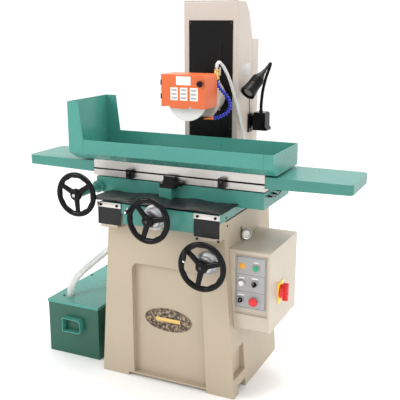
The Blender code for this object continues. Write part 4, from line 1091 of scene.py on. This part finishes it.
# ---------------------------------------------------------------- saddle and table details
saddle_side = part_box("saddle")[1].x
screws("gib_screws", [(0.3050, SHIFT.y - 0.240, 0.880)], 0.0042, 0.0035, facing("X", 1), "dark_steel",
       "cross_slide")
oil = bmesh.new()
for y in (-0.090, -0.030, 0.040):
    add_turned(oil, [(0.0, 0.0200), (0.0035, 0.0200), (0.0045, 0.0160), (0.0045, 0.0080), (0.0062, 0.0070),
                     (0.0062, 0.0), (0.0, 0.0)], (saddle_side - 0.0002, SHIFT.y + y, 0.9610), "X", 20)
finish_piece("oil_fittings", oil, "black_plastic", "cross_slide")
end_x, pipe_x = saddle_side + 0.0165, saddle_side + 0.020
oil_line = smooth_run([(end_x, SHIFT.y - 0.090, 0.961), (pipe_x, SHIFT.y - 0.060, 0.955),
                       (pipe_x, SHIFT.y, 0.955), (end_x, SHIFT.y + 0.040, 0.961)], 8)
tube("oil_pipe", oil_line, 0.0024, "dark_steel", "cross_slide", 12)

fitting = bmesh.new()
add_turned(fitting, [(0.0, 0.0), (0.0040, 0.0006), (0.0060, 0.0030), (0.0062, 0.0060), (0.0045, 0.0080),
                     (0.0045, 0.0140), (0.0, 0.0140)], (-0.150, SHIFT.y - 0.3435, 0.893), "Y", 28)
finish_piece("apron_oiler", fitting, "chrome", "cross_slide", 40.0)

block("apron_tab", (0.0560, SHIFT.y - 0.2980, 0.8060), (0.0980, SHIFT.y - 0.2905, 0.8180), "dark_steel",
      "cross_slide", 0.0006)

table_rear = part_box("table")[1].y
screws("table_rear_screws", [(x, table_rear - 0.0002, 1.005) for x in (-0.36, 0.0, 0.36)], 0.0060,
       0.0040, facing("Y", 1), "dark_steel", "work_table")
for node, body in (("trip_dog_left", "left_dog"), ("trip_dog_right", "right_dog")):
    low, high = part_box(node)
    place = ((low.x + high.x) / 2, low.y + 0.0002, 1.025)
    screws(node + "_screw", [place], 0.0075, 0.0060, facing("Y", -1), "dark_steel", body)

slot_floor = SHIFT.y - 0.1405
# A black strip inside the table's T-slot groove: painted shadow that darkens the groove.
block("table_slot_shade", (-0.4580, slot_floor - 0.0060, 1.0217), (0.4580, slot_floor - 0.0008, 1.0283),
      "black_plastic", "work_table", 0.0002)

tray_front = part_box("splash_tray")[0].y
seam = bmesh.new()
for x in (0.4565, -0.4792):
    add_block(seam, (x, tray_front - 0.0003, 1.1050), (x + 0.0012, tray_front + 0.0004, 1.1690), 0.0)
finish_piece("tray_seams", seam, "dark_green_sheet", "work_table")

column_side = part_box("column_casting")[1].x
block("column_sticker", (column_side - 0.0004, SHIFT.y + 0.318, 1.462),
      (column_side + 0.0004, SHIFT.y + 0.430, 1.520), "pale_label", "machine", 0.0001)
way_low, way_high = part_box("column_way_cover")
places = [(x, way_low.y + 0.0002, z) for x in (way_low.x + 0.010, way_high.x - 0.010)
          for z in (1.20, 1.45, way_high.z - 0.012)]
screws("way_cover_screws", places, 0.0040, 0.0022, facing("Y", -1), "dark_steel", "machine")
rear_low, rear_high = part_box("column_rear_cover")
vents = bmesh.new()
for k in range(9):
    z = rear_high.z - 0.16 - 0.018 * k
    add_block(vents, (-0.070, rear_high.y - 0.0004, z), (0.070, rear_high.y + 0.0012, z + 0.006), 0.0006, 1)
finish_piece("cover_vents", vents, "black_plastic", "machine")
places = [(x, rear_high.y - 0.0002, z) for x in (rear_low.x + 0.012, rear_high.x - 0.012)
          for z in (0.90, 1.15, 1.40, 1.62)]
screws("cover_screws", places, 0.0050, 0.0028, facing("Y", 1), "dark_steel", "machine")

WIRE = [(0.158, 0.410, 1.262), (0.157, 0.408, 1.300), (0.1555, 0.406, 1.360),
        (0.1555, 0.405, 1.400)]
tube("lamp_wire", [p + SHIFT for p in smooth_run(WIRE, 8)], 0.0020, "black_plastic", "machine", 10)


# ---------------------------------------------------------------- tank details
lid_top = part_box("tank_lid")[1].z
places = [(x, SHIFT.y + y, lid_top - 0.0002)
          for x, y in ((-0.731, 0.212), (-0.736, 0.382), (-0.690, -0.118), (-0.455, 0.375))]
screws("lid_screws", places, 0.0060, 0.0035, facing("Z", 1), "dark_steel", "machine")
pump_x, pump_y = -0.500, SHIFT.y + 0.300
fins = [(0.0, 0.4350), (0.0280, 0.4350), (0.0400, 0.4290), (0.0430, 0.4200)]
z = 0.4150
while z > 0.352:
    fins += [(0.0430, z), (0.0395, z - 0.0012), (0.0395, z - 0.0040), (0.0430, z - 0.0052)]
    z -= 0.0075
fins += [(0.0430, 0.3450), (0.0320, 0.3400), (0.0320, 0.3040), (0.0500, 0.3030), (0.0500, 0.2953),
         (0.0160, 0.2953), (0.0160, 0.1100), (0.0300, 0.1100), (0.0300, 0.0700), (0.0, 0.0700)]
shape = add_turned(bmesh.new(), fins, (pump_x, pump_y, 0.0), "Z", 56)
add_turned(shape, [(0.0, 0.0), (0.0070, 0.0), (0.0070, 0.0400), (0.0050, 0.0400), (0.0, 0.0400)],
           (-0.475, pump_y, 0.322), "X", 24)
made = finish_piece("coolant_pump_visual", shape, "black_enamel", "machine", 30.0)
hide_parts("coolant_pump")


# ---------------------------------------------------------------- floor
shape = bmesh.new()
bmesh.ops.create_grid(shape, x_segments=1, y_segments=1, size=14.0)
mesh = bpy.data.meshes.new("floor")
shape.to_mesh(mesh)
shape.free()
floor = bpy.data.objects.new("floor", mesh)
bpy.context.scene.collection.objects.link(floor)
floor.location = (0.0, 0.0, -0.0005)
floor_look = Look("floor_paper", 0.9)
floor_look.colour(floor_look.grain(2.0, 2.0), [(0.2, (0.96, 0.96, 0.96)), (0.8, (0.98, 0.98, 0.98))])
mesh.materials.append(floor_look.material)
